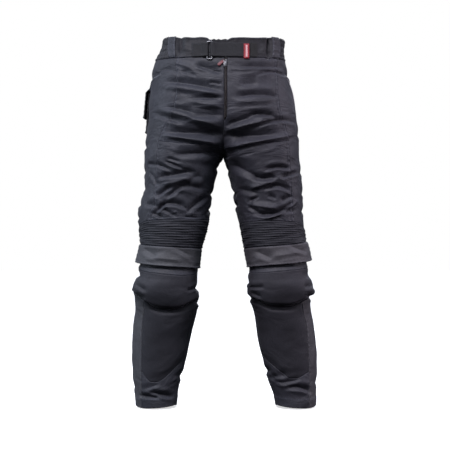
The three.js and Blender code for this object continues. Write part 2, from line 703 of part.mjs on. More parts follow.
// Webbing that follows a path of x and out, with its width upright
function webbing(name, path, thick, top, bottom, colour) {
  const sides = path.map((point, i) => {
    const before = path[Math.max(0, i - 1)];
    const after = path[Math.min(path.length - 1, i + 1)];
    const run = [after[0] - before[0], after[1] - before[1]];
    const length = Math.hypot(...run);
    return [-run[1] / length * thick / 2, run[0] / length * thick / 2];
  });
  const heights = [top, (top + bottom) / 2, bottom];
  const grid = (way) => path.map(([x, out], i) => heights.map((z) => (
    onBand(x + way * sides[i][0], z, out + way * sides[i][1])
  )));
  add(name, wallGeometry(grid(1), grid(-1)), colour);
}

// Webbing that lies on the band, turns round a bar and comes back on top of itself
function foldedPath(underEnd, barX, overEnd, way) {
  const under = LAYER_GAP + STRAP_THICK / 2;
  const barOut = RING_OUT;
  const over = under + STRAP_THICK + LAYER_GAP;
  const radius = barOut - under;
  const turn = Array.from({ length: 7 }, (_, k) => {
    const angle = radians(-90 + 30 * k);
    return [barX - way * radius * Math.cos(angle), barOut + radius * Math.sin(angle)];
  });
  const steps = (from, to, out) => [0, 0.25, 0.5, 0.75].map((t) => [mix(from, to, t), out]);
  return [
    ...steps(underEnd, barX + way * 2, under),
    ...turn,
    [barX + way * 6, barOut + radius * 0.8],
    [barX + way * 14, over + 0.5],
    ...[0.2, 0.4, 0.6, 0.8, 1].map((t) => [mix(barX + way * 14, overEnd, t), over]),
  ];
}

// The wire ring of the adjuster, a rounded rectangle
function ringGeometry() {
  const corner = 3;
  const sides = 6;
  const halfWide = RING.barToBar / 2;
  const halfHigh = RING.height / 2;
  const centres = [[1, 1], [-1, 1], [-1, -1], [1, -1]];
  const path = [];
  centres.forEach(([sx, sz], q) => {
    for (let k = 0; k <= 3; k += 1) {
      const angle = radians(90 * q + 30 * k);
      path.push([
        RING.x + sx * (halfWide - corner) + corner * Math.cos(angle),
        RING.z + sz * (halfHigh - corner) + corner * Math.sin(angle),
        angle,
      ]);
    }
  });
  const barOut = RING_OUT;
  const positions = [];
  for (const [x, z, angle] of path) {
    for (let k = 0; k < sides; k += 1) {
      const turn = radians(360 / sides * k);
      const away = RING.wire * Math.cos(turn);
      const p = onBand(x + away * Math.cos(angle), z + away * Math.sin(angle), barOut + RING.wire * Math.sin(turn));
      positions.push(p.x, p.y, p.z);
    }
  }
  const faces = [];
  for (let i = 0; i < path.length; i += 1) {
    for (let k = 0; k < sides; k += 1) {
      const next = (i + 1) % path.length;
      const a = i * sides + k;
      const b = i * sides + (k + 1) % sides;
      const c = next * sides + (k + 1) % sides;
      const d = next * sides + k;
      faces.push(a, b, c, a, c, d);
    }
  }
  return facingOut(positions, faces);
}

function waistAdjuster() {
  const leftBar = RING.x - RING.barToBar / 2;
  const rightBar = RING.x + RING.barToBar / 2;
  webbing('ring_tab', foldedPath(TAB_END, leftBar, TAB_END, -1), STRAP_THICK, STRAP_TOP - 1, STRAP_BOTTOM, 'webbing');
  webbing('strap', foldedPath(UNDER_END, rightBar, STRAP_END, 1), STRAP_THICK, STRAP_TOP, STRAP_BOTTOM, 'webbing');
  add('adjuster_ring', ringGeometry(), 'metal', { roughness: 0.35, metalness: 1 });
  const tagOut = LAYER_GAP * 3 + STRAP_THICK * 2 + TAG.thick / 2;
  webbing('red_tag', [[TAG.from, tagOut], [63, tagOut], [TAG.to, tagOut]], TAG.thick, TAG.top, TAG.bottom, 'red');
  const hookOut = LAYER_GAP + HOOK_TAPE.thick / 2;
  const hookPath = [[HOOK_TAPE.from, hookOut], [84, hookOut], [HOOK_TAPE.to, hookOut]];
  webbing('hook_tape', hookPath, HOOK_TAPE.thick, HOOK_TAPE.top, HOOK_TAPE.bottom, 'hook');
}

// The place on the cloth at x and z, with local x across, y up and z out of the cloth
function clothFrame(x, z, out) {
  const half = x < 0 ? 'R' : 'L';
  const share = shareAt(half, z, Math.abs(x));
  const normal = outward(half, share, z);
  const sideways = new THREE.Vector3(1, 0, 0).addScaledVector(normal, -normal.x).normalize();
  const up = normal.clone().cross(sideways);
  const origin = bareSkin(half, share, z).addScaledVector(normal, out);
  return new THREE.Matrix4().makeBasis(sideways, up, normal).setPosition(origin);
}

function sliderGeometry() {
  const wide = SLIDER.wide / 2;
  const high = (SLIDER.top - SLIDER.bottom) / 2;
  const outline = new THREE.Shape();
  outline.moveTo(-wide * 0.75, -high);
  outline.lineTo(wide * 0.75, -high);
  outline.lineTo(wide, 0);
  outline.lineTo(wide * 0.9, high);
  outline.lineTo(-wide * 0.9, high);
  outline.lineTo(-wide, 0);
  outline.closePath();
  return new THREE.ExtrudeGeometry(outline, { depth: SLIDER.thick, bevelEnabled: false });
}

// Wire arch over the pull's end bar, in the plane of the pull's length
function bridgeGeometry() {
  const points = Array.from({ length: 9 }, (_, k) => {
    const angle = radians(22.5 * k);
    return new THREE.Vector3(BRIDGE.radius * Math.cos(angle), 0, BRIDGE.radius * Math.sin(angle));
  });
  const leg = PULL.thick / 2 + 0.2;
  points.unshift(new THREE.Vector3(BRIDGE.radius, 0, -leg));
  points.push(new THREE.Vector3(-BRIDGE.radius, 0, -leg));
  const curve = new THREE.CatmullRomCurve3(points);
  const wire = new THREE.Shape();
  wire.absarc(0, 0, BRIDGE.wire, 0, 2 * Math.PI);
  return new THREE.ExtrudeGeometry(wire, { steps: 10, curveSegments: 3, extrudePath: curve, bevelEnabled: false });
}

// A flat pull: its end bar lies on the hinge, with the hole beyond it for the bridge
function pullGeometry() {
  const { length, wide, thick, hole, bar } = PULL;
  const outline = new THREE.Shape();
  outline.moveTo(-bar, -wide * 0.32);
  outline.lineTo(bar + 2 * hole, -wide * 0.42);
  outline.lineTo(length * 0.6, -wide / 2);
  outline.absarc(length - wide / 2, 0, wide / 2, -Math.PI / 2, Math.PI / 2);
  outline.lineTo(length * 0.6, wide / 2);
  outline.lineTo(bar + 2 * hole, wide * 0.42);
  outline.lineTo(-bar, wide * 0.32);
  outline.closePath();
  const eye = new THREE.Path();
  eye.absarc(bar + hole, 0, hole, 0, 2 * Math.PI, true);
  outline.holes.push(eye);
  const plate = new THREE.ExtrudeGeometry(outline, { depth: thick, curveSegments: 8, bevelEnabled: false });
  return plate.translate(0, 0, -thick / 2);
}

// The zip tape lies between the two fronts, in rows at the same heights as theirs
function flyZip() {
  const step = (seam('L', 'yoke')(0) - BAND_BOTTOM) / HIP_ROWS;
  addPanel('fly_zip', 'L', 'zip', {
    across: [
      [(z) => shareAt('L', z, Math.max(0, -flyOpening('R', z)))],
      [(z) => shareAt('L', z, flyOpening('L', z)), 2],
    ],
    height: (share, row) => BAND_BOTTOM - SEAM_GAP / 2 + step * row,
    rows: 11,
    thick: 1.4,
    out: () => -0.5,
    keep: (half, point) => point,
  });
  const sliderMiddle = (SLIDER.top + SLIDER.bottom) / 2;
  const slider = add('fly_slider', sliderGeometry(), 'metal', { roughness: 0.35, metalness: 1 });
  slider.applyMatrix4(clothFrame(SLIDER.x, sliderMiddle, SLIDER.lift));
  const hingeOut = SLIDER.lift + SLIDER.thick + SEAM_GAP + PULL.thick / 2 + 0.2;
  const frame = clothFrame(BRIDGE.x, BRIDGE.z, hingeOut);
  frame.multiply(new THREE.Matrix4().makeRotationZ(Math.atan2(PULL_SLOPE[1], PULL_SLOPE[0])));
  add('fly_bridge', bridgeGeometry(), 'metal', { roughness: 0.35, metalness: 1 }).applyMatrix4(frame);
  add('fly_pull', pullGeometry(), 'red', { roughness: 0.5 }).applyMatrix4(frame);
}

// Slanted hip pocket openings, edged with reflective piping
function pocketPiping(half) {
  const wide = 5;
  const from = half === 'R' ? { z: -70, distance: 178 } : { z: -84, distance: 180 };
  const to = half === 'R' ? { z: -113, share: 0.98 } : { z: -178, share: 1.07 };
  const first = shareAt(half, from.z, from.distance);
  const line = (z) => mix(first, to.share, clamp01((from.z - z) / (from.z - to.z)) ** 0.8);
  const shareOfWidth = (z) => wide / (bareSkin(half, 0.98, z).distanceTo(bareSkin(half, 0.94, z)) / 0.04);
  addPanel('pocket_piping', half, 'piping', {
    across: [[line], [(z) => line(z) + shareOfWidth(z), 2]],
    top: level(from.z),
    bottom: level(to.z),
    rows: 8,
    thick: 1.2,
    out: () => 2.1,
  });
}

// Patch pocket with a flap, behind the wearer's right hip
function hipPocket() {
  const round = (c, r) => (Math.sin(Math.PI * clamp01(c)) * Math.sin(Math.PI * clamp01(0.12 + 0.76 * r))) ** 0.6;
  addPanel('hip_pocket', 'R', 'pocket', {
    across: [[at(1.0)], [at(1.46), 7]],
    top: level(-116),
    bottom: level(-234),
    rows: 7,
    out: (c, r) => 4 + 5.2 * round(c, r),
    inside: () => 1.3,
  });
  addPanel('hip_pocket_flap', 'R', 'pocket', {
    across: [[at(0.985)], [at(1.475), 7]],
    top: level(-103),
    bottom: level(-192),
    rows: 6,
    thick: 1.6,
    out: (c, r) => 2.5 + 10 * smooth(0, 0.17, r) + 1.5 * r,
  });
}

for (const half of ['R', 'L']) {
  upperLeg(half);
  lowerLeg(half);
  pocketPiping(half);
}
waistband();
for (const half of ['R', 'L']) {
  const [near, far] = LOOPS[half];
  beltLoop('belt_loop_front', half, distanceShare(half, near), distanceShare(half, far), LAYER_GAP);
  beltLoop('belt_loop_back', half, at(BACK_LOOP_SHARES[0]), at(BACK_LOOP_SHARES[1]), LAYER_GAP + GATHER_DEPTH * 1.3);
}
waistAdjuster();
flyZip();
hipPocket();

export default trousers;
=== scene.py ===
"""Textile motorcycle trousers: the finish of every cloth panel, seam, strap and fitting."""
import math

import bmesh
import bpy
import numpy as np
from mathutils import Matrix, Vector


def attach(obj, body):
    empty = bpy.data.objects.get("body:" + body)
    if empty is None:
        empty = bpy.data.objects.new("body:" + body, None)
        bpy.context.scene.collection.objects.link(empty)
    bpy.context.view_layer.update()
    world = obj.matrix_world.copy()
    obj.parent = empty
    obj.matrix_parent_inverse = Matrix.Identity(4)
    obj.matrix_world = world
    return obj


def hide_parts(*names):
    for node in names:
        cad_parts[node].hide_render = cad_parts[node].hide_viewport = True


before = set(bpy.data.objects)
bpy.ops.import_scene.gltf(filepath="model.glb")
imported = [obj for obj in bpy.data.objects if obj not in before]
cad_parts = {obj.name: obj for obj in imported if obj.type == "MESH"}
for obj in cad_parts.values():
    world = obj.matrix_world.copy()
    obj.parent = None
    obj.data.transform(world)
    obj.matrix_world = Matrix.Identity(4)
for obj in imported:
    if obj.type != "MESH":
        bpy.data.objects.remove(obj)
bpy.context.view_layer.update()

BODY = "trousers"
PULL_BODY = "fly_pull"
MM = 0.001

# Driving sizes, in millimetres, the same as those of the solids
BAND_TOP = 29
BAND_BOTTOM = -28
CROTCH_Z = -303
HEM_Z = -1020
WALL = 1.8
SEAM_GAP = 0.3
LAYER_GAP = 0.4
RISE_SPAN = 330
BACK_RISE = 10
BACK_EDGE_RISE = 14
BACK_RISE_FADE = 170
ZIP_X = 6
ZIP_GAP = 8
ZIP_BOTTOM = -204
ZIP_FADE = 14
RIBS = 11
RIB_DEPTH = 2.8
HALVES = ("R", "L")

# Distances between the points of a panel
FINE = 3.0
FINEST = 2.4
COARSE = 4.4

# Sections from the waist down. The halves differ only in how far they reach across.
# Columns: z, outer and inner of the right half, outer and inner of the left, front, back, square
SECTIONS = [
    (60, 173, 0, 177, 0, 114, 120, 2.4),
    (28, 175, 0, 176, 0, 116, 121, 2.4),
    (0, 182, 0, 173, 0, 119, 123, 2.4),
    (-30, 197, 0, 178, 0, 124, 128, 2.4),
    (-70, 206, 0, 186, 0, 131, 137, 2.4),
    (-137, 213, 0, 201, 0, 138, 150, 2.4),
    (-205, 218, 0, 212, 0, 138, 155, 2.4),
    (-270, 225, 0, 217, 0, 134, 146, 2.4),
    (-303, 228, 0, 218, 0, 132, 134, 2.4),
    (-318, 228, 10, 219, 4, 130, 129, 2.35),
    (-356, 227, 20, 224, 14, 126, 118, 2.3),
    (-406, 230, 32, 227, 27, 121, 108, 2.3),
    (-456, 245, 38, 228, 35, 118, 99, 2.3),
    (-507, 242, 46, 231, 48, 114, 90, 2.3),
    (-557, 238, 60, 238, 57, 110, 80, 2.3),
    (-591, 238, 68, 238, 66, 108, 75, 2.3),
    (-624, 239, 74, 238, 74, 108, 71, 2.3),
    (-650, 241, 77, 240, 72, 109, 69, 2.3),
    (-675, 256, 79, 255, 71, 108, 68, 2.3),
    (-708, 255, 72, 250, 75, 100, 70, 2.3),
    (-742, 254, 77, 252, 87, 88, 76, 2.3),
    (-792, 261, 88, 261, 94, 82, 85, 2.2),
    (-843, 264, 99, 267, 102, 76, 88, 2.2),
    (-893, 264, 110, 270, 116, 70, 86, 2.2),
    (-944, 261, 124, 268, 128, 66, 80, 2.2),
    (-994, 255, 133, 267, 146, 64, 76, 2.2),
    (-1040, 250, 138, 264, 152, 64, 75, 2.2),
]
SECTION_REACH = {"R": (1, 2), "L": (3, 4)}

# Folds on each face of each half: two ends (across, z), width, depth, bow, lean.
# Across is the distance from the centre line on the front and back, and y on the outside and inside.
# A trough has a depth below zero. Lean above zero makes the second end the deeper and wider one.
FOLDS = {
    ("R", "front"): [
        (192, -80, 172, -58, 5, -4, 0, 0), (176, -60, 128, -70, 6, -5, 3, 0),
        (118, -66, 76, -82, 5, -4, 0, 0), (78, -50, 8, -72, 8, -7, 0, 0.3),
        (142, -40, 88, -60, 6, 4, 0, 0), (40, -99, 6, -105, 4, -4, 0, 0),
        (165, -96, 5, -124, 8, -8, 4, 0.3), (168, -110, 10, -135, 9, 6, 0, 0.2),
        (94, -145, 6, -143, 5, -6, 0, 0.4), (94, -155, 7, -166, 9, 4, 0, 0),
        (163, -168, 84, -187, 6, -8, 2, 0.4), (98, -197, 4, -192, 10, -9, 0, 0.5),
        (176, -175, 8, -224, 11, 10, 0, 0.2), (192, -188, 112, -216, 6, -6, 0, 0),
        (165, -239, 4, -246, 12, -14, 0, 0.7), (170, -248, 10, -268, 8, 8, 0, 0),
        (136, -302, 4, -297, 12, -10, 0, 0.4), (158, -311, 122, -323, 4, -6, 0, 0),
        (162, -321, 114, -341, 4.5, -7, 0, 0), (188, -328, 147, -346, 4.5, -7, 0, 0),
        (216, -326, 184, -331, 5, -4, 0, 0), (184, -366, 84, -350, 7, -9, 0, 0.2),
        (168, -384, 86, -366, 9, 6, 0, 0), (209, -348, 184, -390, 5, -5, 0, 0),
        (96, -368, 58, -362, 11, -6, 0, 0), (188, -418, 146, -392, 5, -7, 0, 0),
        (160, -423, 118, -391, 6, -8, 0, 0), (128, -392, 60, -398, 8, -8, 5, 0),
        (222, -438, 184, -446, 8, -7, 0, 0), (192, -463, 164, -438, 5, -9, 0, 0),
        (172, -440, 104, -452, 7, -9, 7, 0), (168, -455, 134, -475, 4, -6, 0, 0),
        (199, -466, 170, -478, 4.5, -8, 0, 0), (104, -464, 50, -420, 7, -7, 0, 0),
        (110, -476, 70, -478, 4, -4, 0, 0), (222, -566, 186, -588, 9, -6, 0, 0),
        (140, -560, 92, -586, 8, -4, 0, 0), (200, -590, 120, -596, 8, 3, 0, 0),
        (245, -668, 214, -682, 5, -6, 0, 0), (242, -693, 216, -702, 5, -6, 0, 0),
        (108, -684, 78, -676, 5, -5, 0, 0), (226, -964, 188, -953, 6, -3.5, 0, 0),
        (208, -973, 145, -989, 6, -9, 0, 0), (238, -985, 182, -989, 5, -9, 0, 0),
        (130, 46, 125, -14, 9, -27, 0, -0.3),
    ],
    ("L", "front"): [
        (44, -55, 165, -52, 6, -6, 0, 0), (96, -78, 178, -76, 5, -5, 9, 0),
        (47, -106, 94, -101, 13, -5, 0, 0), (38, -142, 146, -137, 7, -8, 5, 0),
        (30, -158, 140, -150, 9, 5, 0, 0), (8, -221, 92, -193, 10, -10, 0, -0.3),
        (72, -191, 144, -195, 7, -10, 4, 0), (8, -234, 136, -202, 7, 8, 0, 0),
        (98, -222, 198, -206, 6, -8, 8, 0), (3, -253, 162, -246, 13, -14, 0, -0.6),
        (14, -280, 190, -246, 7, 7, 0, 0), (20, -328, 98, -366, 12, -9, 0, 0),
        (118, -345, 186, -341, 5, -9, 6, 0), (76, -363, 149, -364, 7, -10, -6, 0),
        (162, -366, 213, -349, 5, -8, 0, 0), (74, -396, 142, -377, 7, 6, 0, 0),
        (115, -398, 190, -404, 7, -9, 12, 0), (46, -399, 98, -411, 8, -6, 0, 0),
        (162, -433, 194, -416, 7, -8, 0, 0), (126, -416, 146, -424, 5, -6, 0, 0),
        (74, -432, 98, -419, 4, -6, 0, 0), (74, -440, 152, -453, 6, 5, 0, 0),
        (70, -447, 98, -464, 6, -7, 0, 0), (82, -467, 192, -448, 6, -11, -9, 0),
        (112, -482, 206, -433, 4, 6, -8, 0), (172, -464, 204, -456, 5, -5, 0, 0),
        (92, -572, 136, -592, 9, -6, 0, 0), (188, -558, 230, -574, 8, -6, 0, 0),
        (140, -586, 214, -574, 8, 3, 0, 0), (80, -675, 118, -672, 5, -6, 0, 0),
        (84, -690, 112, -698, 5, -5, 0, 0), (222, -673, 250, -671, 6, -7, 0, 0),
        (229, -692, 246, -706, 5, -7, 0, 0), (132, -933, 178, -926, 8, -7, 0, 0),
        (146, -946, 216, -936, 6, -7, -4, 0), (178, -963, 247, -973, 7, -9, 8, 0),
        (132, 38, 128, -30, 6, -21, 0, 0),
    ],
    ("R", "back"): [
        (30, -112, 176, -86, 9, -5, 0, -0.3), (24, -168, 110, -150, 7, -4, 0, 0),
        (36, -196, 190, -214, 9, -5, 0, 0), (14, -300, 150, -258, 12, -10, 8, -0.5),
        (18, -306, 172, -300, 9, 5, 0, 0), (30, -372, 120, -330, 7, -6, 0, 0),
        (92, -426, 200, -384, 8, -6, -6, 0), (60, -496, 150, -520, 7, -5, 0, 0),
        (75, -586, 190, -604, 7, -9, 0, 0), (110, -600, 230, -580, 6, -8, 0, 0),
        (84, -634, 176, -622, 7, -9, 0, 0), (120, -652, 226, -640, 6, -7, 4, 0),
        (95, -672, 190, -690, 7, -7, 0, 0), (112, -752, 200, -722, 8, -4, 0, 0),
        (140, -930, 232, -954, 7, -6, 0, 0), (150, -972, 205, -960, 6, -7, 0, 0),
    ],
    ("L", "back"): [
        (35, -124, 160, -98, 9, -5, 0, -0.3), (90, -160, 170, -176, 7, -4, 0, 0),
        (28, -226, 168, -192, 9, -6, 0, 0), (14, -306, 160, -268, 12, -10, 8, -0.5),
        (22, -312, 180, -308, 9, 5, 0, 0), (64, -342, 186, -368, 7, -6, 0, 0),
        (46, -402, 120, -440, 8, -6, 4, 0), (110, -486, 206, -460, 7, -5, 0, 0),
        (78, -600, 170, -586, 7, -9, 0, 0), (130, -592, 226, -612, 6, -8, 0, 0),
        (82, -628, 160, -640, 7, -9, 0, 0), (120, -660, 222, -646, 6, -7, 4, 0),
        (90, -684, 165, -668, 7, -6, 0, 0), (124, -760, 238, -786, 8, -4, 0, 0),
        (158, -946, 245, -926, 7, -6, 0, 0), (164, -962, 222, -978, 6, -7, 0, 0),
    ],
    ("R", "outside"): [
        (-70, -70, 30, -88, 8, -5, 0, 0), (-70, -270, 60, -290, 8, -6, 0, 0),
        (-60, -340, 60, -366, 8, -4, 0, 0), (-70, -398, 40, -392, 7, -3, 0, 0),
        (-60, -446, 60, -430, 7, -5, 0, 0), (-55, -478, 50, -484, 6, -4, 0, 0),
        (-60, -646, 50, -628, 8, -8, 0, 0), (-50, -676, 55, -690, 7, -7, 0, 0),
        (-40, -958, 55, -972, 9, -2.5, 0, 0),
    ],
    ("L", "outside"): [
        (-70, -64, 40, -80, 8, -5, 0, 0), (-50, -236, 70, -262, 8, -4, 0, 0),
        (-60, -356, 60, -336, 8, -4, 0, 0), (-60, -406, 50, -420, 7, -3, 0, 0),
        (-60, -468, 60, -446, 7, -5, 0, 0), (-60, -680, 50, -664, 8, -8, 0, 0),
        (-50, -704, 45, -714, 6, -6, 0, 0), (-40, -946, 55, -962, 9, -2.5, 0, 0),
    ],
    ("R", "inside"): [
        (-60, -346, 50, -330, 8, -5, 0, 0), (-60, -404, 55, -420, 7, -6, 0, 0),
        (-60, -464, 50, -446, 7, -6, 0, 0), (-60, -684, 45, -668, 7, -7, 0, 0),
        (-50, -720, 40, -728, 6, -5, 0, 0), (-50, -926, 50, -944, 8, -5, 0, 0),
    ],
    ("L", "inside"): [
        (-60, -352, 50, -336, 8, -5, 0, 0), (-60, -416, 50, -398, 7, -6, 0, 0),
        (-60, -440, 55, -452, 7, -6, 0, 0), (-60, -664, 45, -654, 7, -7, 0, 0),
        (-50, -706, 40, -716, 6, -5, 0, 0), (-50, -912, 50, -926, 8, -6, 0, 0),
    ],
}

# Seams that run down the legs: z, distance from the centre line
SIDE_FRONT_SEAM = {
    "R": [(60, 130), (-78, 133), (-148, 136), (-204, 156), (-249, 178), (-330, 188), (-428, 193),
          (-520, 195)],
    "L": [(60, 148), (-67, 152), (-148, 155), (-199, 166), (-246, 180), (-330, 187), (-428, 192),
          (-520, 194)],
}
SHIN_SEAM = {
    "R": [(-700, 234), (-740, 232), (-800, 232), (-900, 234), (-1040, 234)],
    "L": [(-700, 230), (-740, 232), (-800, 238), (-900, 244), (-1040, 244)],
}
# Seams that run across the legs: share round the section, z
CROSS_SEAMS = {
    "R": {
        "yoke": [(0, -283), (0.5, -266), (1, -249)],
        "stretch_top": [(0, -486), (0.25, -483), (0.6, -484), (0.85, -495), (1, -512)],
        "stretch_bottom": [(0, -566), (0.3, -562), (1, -551)],
        "flap_bottom": [(0, -619), (0.2, -620), (1, -604)],
        "cap_top": [(0, -632), (0.3, -640), (0.6, -634), (1, -622)],
        "cap_bottom": [(0, -712), (0.22, -720), (0.52, -737), (0.78, -702), (1, -690)],
        "shin_bottom": [(0, -872), (0.19, -895), (0.33, -921), (0.43, -938), (0.52, -944), (0.61, -936),
                        (0.7, -914), (1, -896)],
    },
    "L": {
        "yoke": [(0, -283), (0.5, -266), (1, -246)],
        "stretch_top": [(0, -503), (0.25, -490), (0.7, -490), (0.88, -500), (1, -514)],
        "stretch_bottom": [(0, -564), (0.3, -560), (1, -543)],
        "flap_bottom": [(0, -618), (0.2, -616), (1, -598)],
        "cap_top": [(0, -634), (0.3, -634), (0.6, -626), (1, -620)],
        "cap_bottom": [(0, -702), (0.24, -712), (0.46, -729), (0.71, -718), (1, -692)],
        "shin_bottom": [(0, -868), (0.29, -905), (0.43, -929), (0.52, -934), (0.61, -928), (0.72, -916),
                        (1, -905)],
    },
}
# Shares round the section: 0 is the inside of the leg, 1 the outside and 2 the inside again
BACK_SEAM = 1.14
KNEE_OUTER = 1.04
KNEE_SPLIT = 0.72
FLAP_ENDS = (0.07, 0.97)
# Heights between which the lengthwise seams turn to the knee's own split
THIGH_SEAM_TURN = (-430, -480)
SHIN_SEAM_TURN = (-800, -742)
SIDE_SEAM_FROM = -440
SIDE_SEAM_TO = -700
SEAT_BOTTOM = -318
BACK_KNEE = -602
# Top edge of the waistband's fronts: distance from the centre line, z
BAND_EDGE = {
    "R": [(0, 13), (25, 14), (37, 18), (50, 28), (90, 29), (160, 36)],
    "L": [(0, 13), (6, 15), (12, 22), (32, 28), (90, 29), (160, 35)],
}
SIDE_TOP = {"R": 36, "L": 32}
BAND_FRONT_END = {"R": 156, "L": 158}


def smooth(lo, hi, t):
    s = np.clip((np.asarray(t, float) - lo) / (hi - lo), 0, 1)
    return s * s * (3 - 2 * s)


def mix(a, b, t):
    return a + (b - a) * t


def along(rows, place, column=1):
    """A table of rows read as a smooth curve, by its first column."""
    table = np.array(rows, float)
    if table[-1, 0] < table[0, 0]:
        table = table[::-1]
    x = table[:, 0]
    y = table[:, column]
    place = np.clip(np.asarray(place, float), x[0], x[-1])
    before = np.maximum(np.arange(len(x)) - 1, 0)
    after = np.minimum(np.arange(len(x)) + 1, len(x) - 1)
    slope = (y[after] - y[before]) / (x[after] - x[before])
    i = np.clip(np.searchsorted(x, place, side="right") - 1, 0, len(x) - 2)
    span = x[i + 1] - x[i]
    t = (place - x[i]) / span
    start = y[i] + slope[i] * span * t
    end = y[i + 1] - slope[i + 1] * span * (1 - t)
    return mix(start, end, t * t * (3 - 2 * t))


def section(half, z):
    """The outline of one half at heights z: its middle, its reach, how square it is and where it starts."""
    outer, inner = (along(SECTIONS, z, k) for k in SECTION_REACH[half])
    front, back, square = (along(SECTIONS, z, k) for k in (5, 6, 7))
    height = np.maximum(0, z - CROTCH_Z)
    cut = np.where(height > 0, (1 - np.clip(height / RISE_SPAN, 0, 1)) ** 2, 1.0)
    middle = np.where(height > 0, outer * cut / (1 + cut), (outer + np.maximum(0, inner)) / 2)
    return {
        "middle": middle,
        "across": outer - middle,
        "centre_y": (back - front) / 2,
        "deep": (back + front) / 2,
        "square": square,
        "first": np.arccos(np.clip(cut ** (square / 2), -1, 1)),
    }


def signed_power(value, power):
    return np.sign(value) * np.abs(value) ** power


def share_at(half, z, distance):
    """Share round the section of a point on the front, by its distance from the centre line."""
    z = np.asarray(z, float)
    s = section(half, z)
    cosine = signed_power((s["middle"] - distance) / s["across"], s["square"] / 2)
    angle = np.arccos(np.clip(cosine, -1, 1))
    return (angle - s["first"]) / (math.pi - s["first"])


def angle_at(s, share):
    return s["first"] + (math.pi - s["first"]) * share


def bare_skin(half, share, z):
    """Points of the smooth form, before any crease or seam."""
    share, z = np.broadcast_arrays(np.asarray(share, float), np.asarray(z, float))
    s = section(half, z)
    angle = angle_at(s, share)
    x = s["middle"] - s["across"] * signed_power(np.cos(angle), 2 / s["square"])
    y = s["centre_y"] - s["deep"] * signed_power(np.sin(angle), 2 / s["square"])
    raised = BACK_RISE * smooth(BACK_SEAM, 1.8, share) * smooth(-BACK_RISE_FADE, 0, z)
    return np.stack([-x if half == "R" else x, y, z + raised], -1)


def outward(half, share, z):
    """Unit normals of the smooth form."""
    step = 0.01
    rise = 3
    across = bare_skin(half, share + step, z) - bare_skin(half, share - step, z)
    down = bare_skin(half, share, z - rise) - bare_skin(half, share, z + rise)
    normal = np.cross(across, down)
    normal /= np.linalg.norm(normal, axis=-1, keepdims=True)
    return -normal if half == "L" else normal


def face_weight(face, angle, z):
    """How much the folds of a face count at a point. It fades where the section turns to the next face."""
    if face == "front":
        return smooth(0.05, 0.45, np.sin(angle))
    if face == "back":
        return smooth(0.05, 0.45, -np.sin(angle))
    if face == "outside":
        return smooth(0.3, 0.75, -np.cos(angle))
    return smooth(0.3, 0.75, np.cos(angle)) * smooth(0, 40, CROTCH_Z - z)


# How far a crease reaches above and below its line, in widths
REACH_ABOVE = 1.3
REACH_BELOW = 0.7
# Where a crease fades at its ends, in lengths, and how much its lean changes it
END_FADE = (-0.12, 0.25)
LEAN_STRENGTH = 0.6


def fold_profile(off, width):
    """A crease, slow on its upper side and steep on its lower one, as hanging cloth has it.
    Beside it the cloth that it takes up stands a little the other way."""
    reach = width * np.where(off > 0, REACH_ABOVE, REACH_BELOW)
    middle = np.exp(-np.abs(off / reach) ** 1.2)
    sides = np.exp(-(((np.abs(off) - 1.9 * reach) / reach) ** 2))
    return middle - 0.3 * sides


def pushed(bare, normal, height):
    """Points moved out along the normal. At the centre line they only move forward or back,
    so that the two halves stay together."""
    push = normal * np.asarray(height)[..., None]
    push[..., 0] *= smooth(0, 16, np.abs(bare[..., 0]))
    return bare + push


def fold_height(half, share, z, point):
    """How far the creases of all four faces lift or sink the cloth at each point."""
    angle = angle_at(section(half, z), share)
    height = np.zeros_like(z)
    for face in ("front", "back", "outside", "inside"):
        across = np.abs(point[..., 0]) if face in ("front", "back") else point[..., 1]
        weight = face_weight(face, angle, z)
        for a1, z1, a2, z2, width, depth, bow, lean in FOLDS[half, face]:
            run_a = a2 - a1
            run_z = z2 - z1
            length = math.hypot(run_a, run_z)
            t = ((across - a1) * run_a + (z - z1) * run_z) / length ** 2
            ends = smooth(*END_FADE, t) * smooth(*END_FADE, 1 - t)
            side = 1 if run_a > 0 else -1
            off = side * ((z - z1) * run_a - (across - a1) * run_z) / length - bow * 4 * t * (1 - t)
            grow = 1 + lean * np.clip(2 * t - 1, -1, 1) * LEAN_STRENGTH
            height += depth * grow * ends * fold_profile(off, width * grow) * weight
    return height


def crumple(u, v, seed, longest, shortest, waves=14):
    """Gentle uneven waves over a panel, more across it than down it. u and v are millimetres."""
    dice = np.random.default_rng(seed)
    total = np.zeros_like(u)
    for _ in range(waves):
        wavelength = dice.uniform(shortest, longest)
        turn = dice.normal(math.pi / 2, 0.55)
        phase = dice.uniform(0, 2 * math.pi)
        wave = np.sin(2 * math.pi * (u * math.cos(turn) + v * math.sin(turn)) / wavelength + phase)
        swell = 0.5 + 0.5 * np.sin(2 * math.pi * u / dice.uniform(90, 220) + dice.uniform(0, 6))
        total += wave * swell * wavelength / longest
    return total / math.sqrt(waves)


def fly_opening(half, z):
    """How far each half's fly edge is from the centre line, falling to nothing below the zip.
    The right half's is below zero: it reaches past the line."""
    edge = -(ZIP_X - ZIP_GAP / 2) if half == "R" else ZIP_X + ZIP_GAP / 2
    return edge * smooth(ZIP_BOTTOM - ZIP_FADE, ZIP_BOTTOM + ZIP_FADE, z)


def own_side(half, point, z, share):
    """Keeps points of a half on their own side of the centre line."""
    side = -1 if half == "R" else 1
    least = np.where(share < 1, fly_opening(half, z), 0)
    point[..., 0] = side * np.maximum(point[..., 0] * side, least)
    return point


# Colour and material helpers

def colour(hexed):
    """sRGB hex to linear RGBA."""
    values = [int(hexed[k:k + 2], 16) / 255 for k in (1, 3, 5)]
    return tuple(v / 12.92 if v <= 0.04045 else ((v + 0.055) / 1.055) ** 2.4 for v in values) + (1.0,)


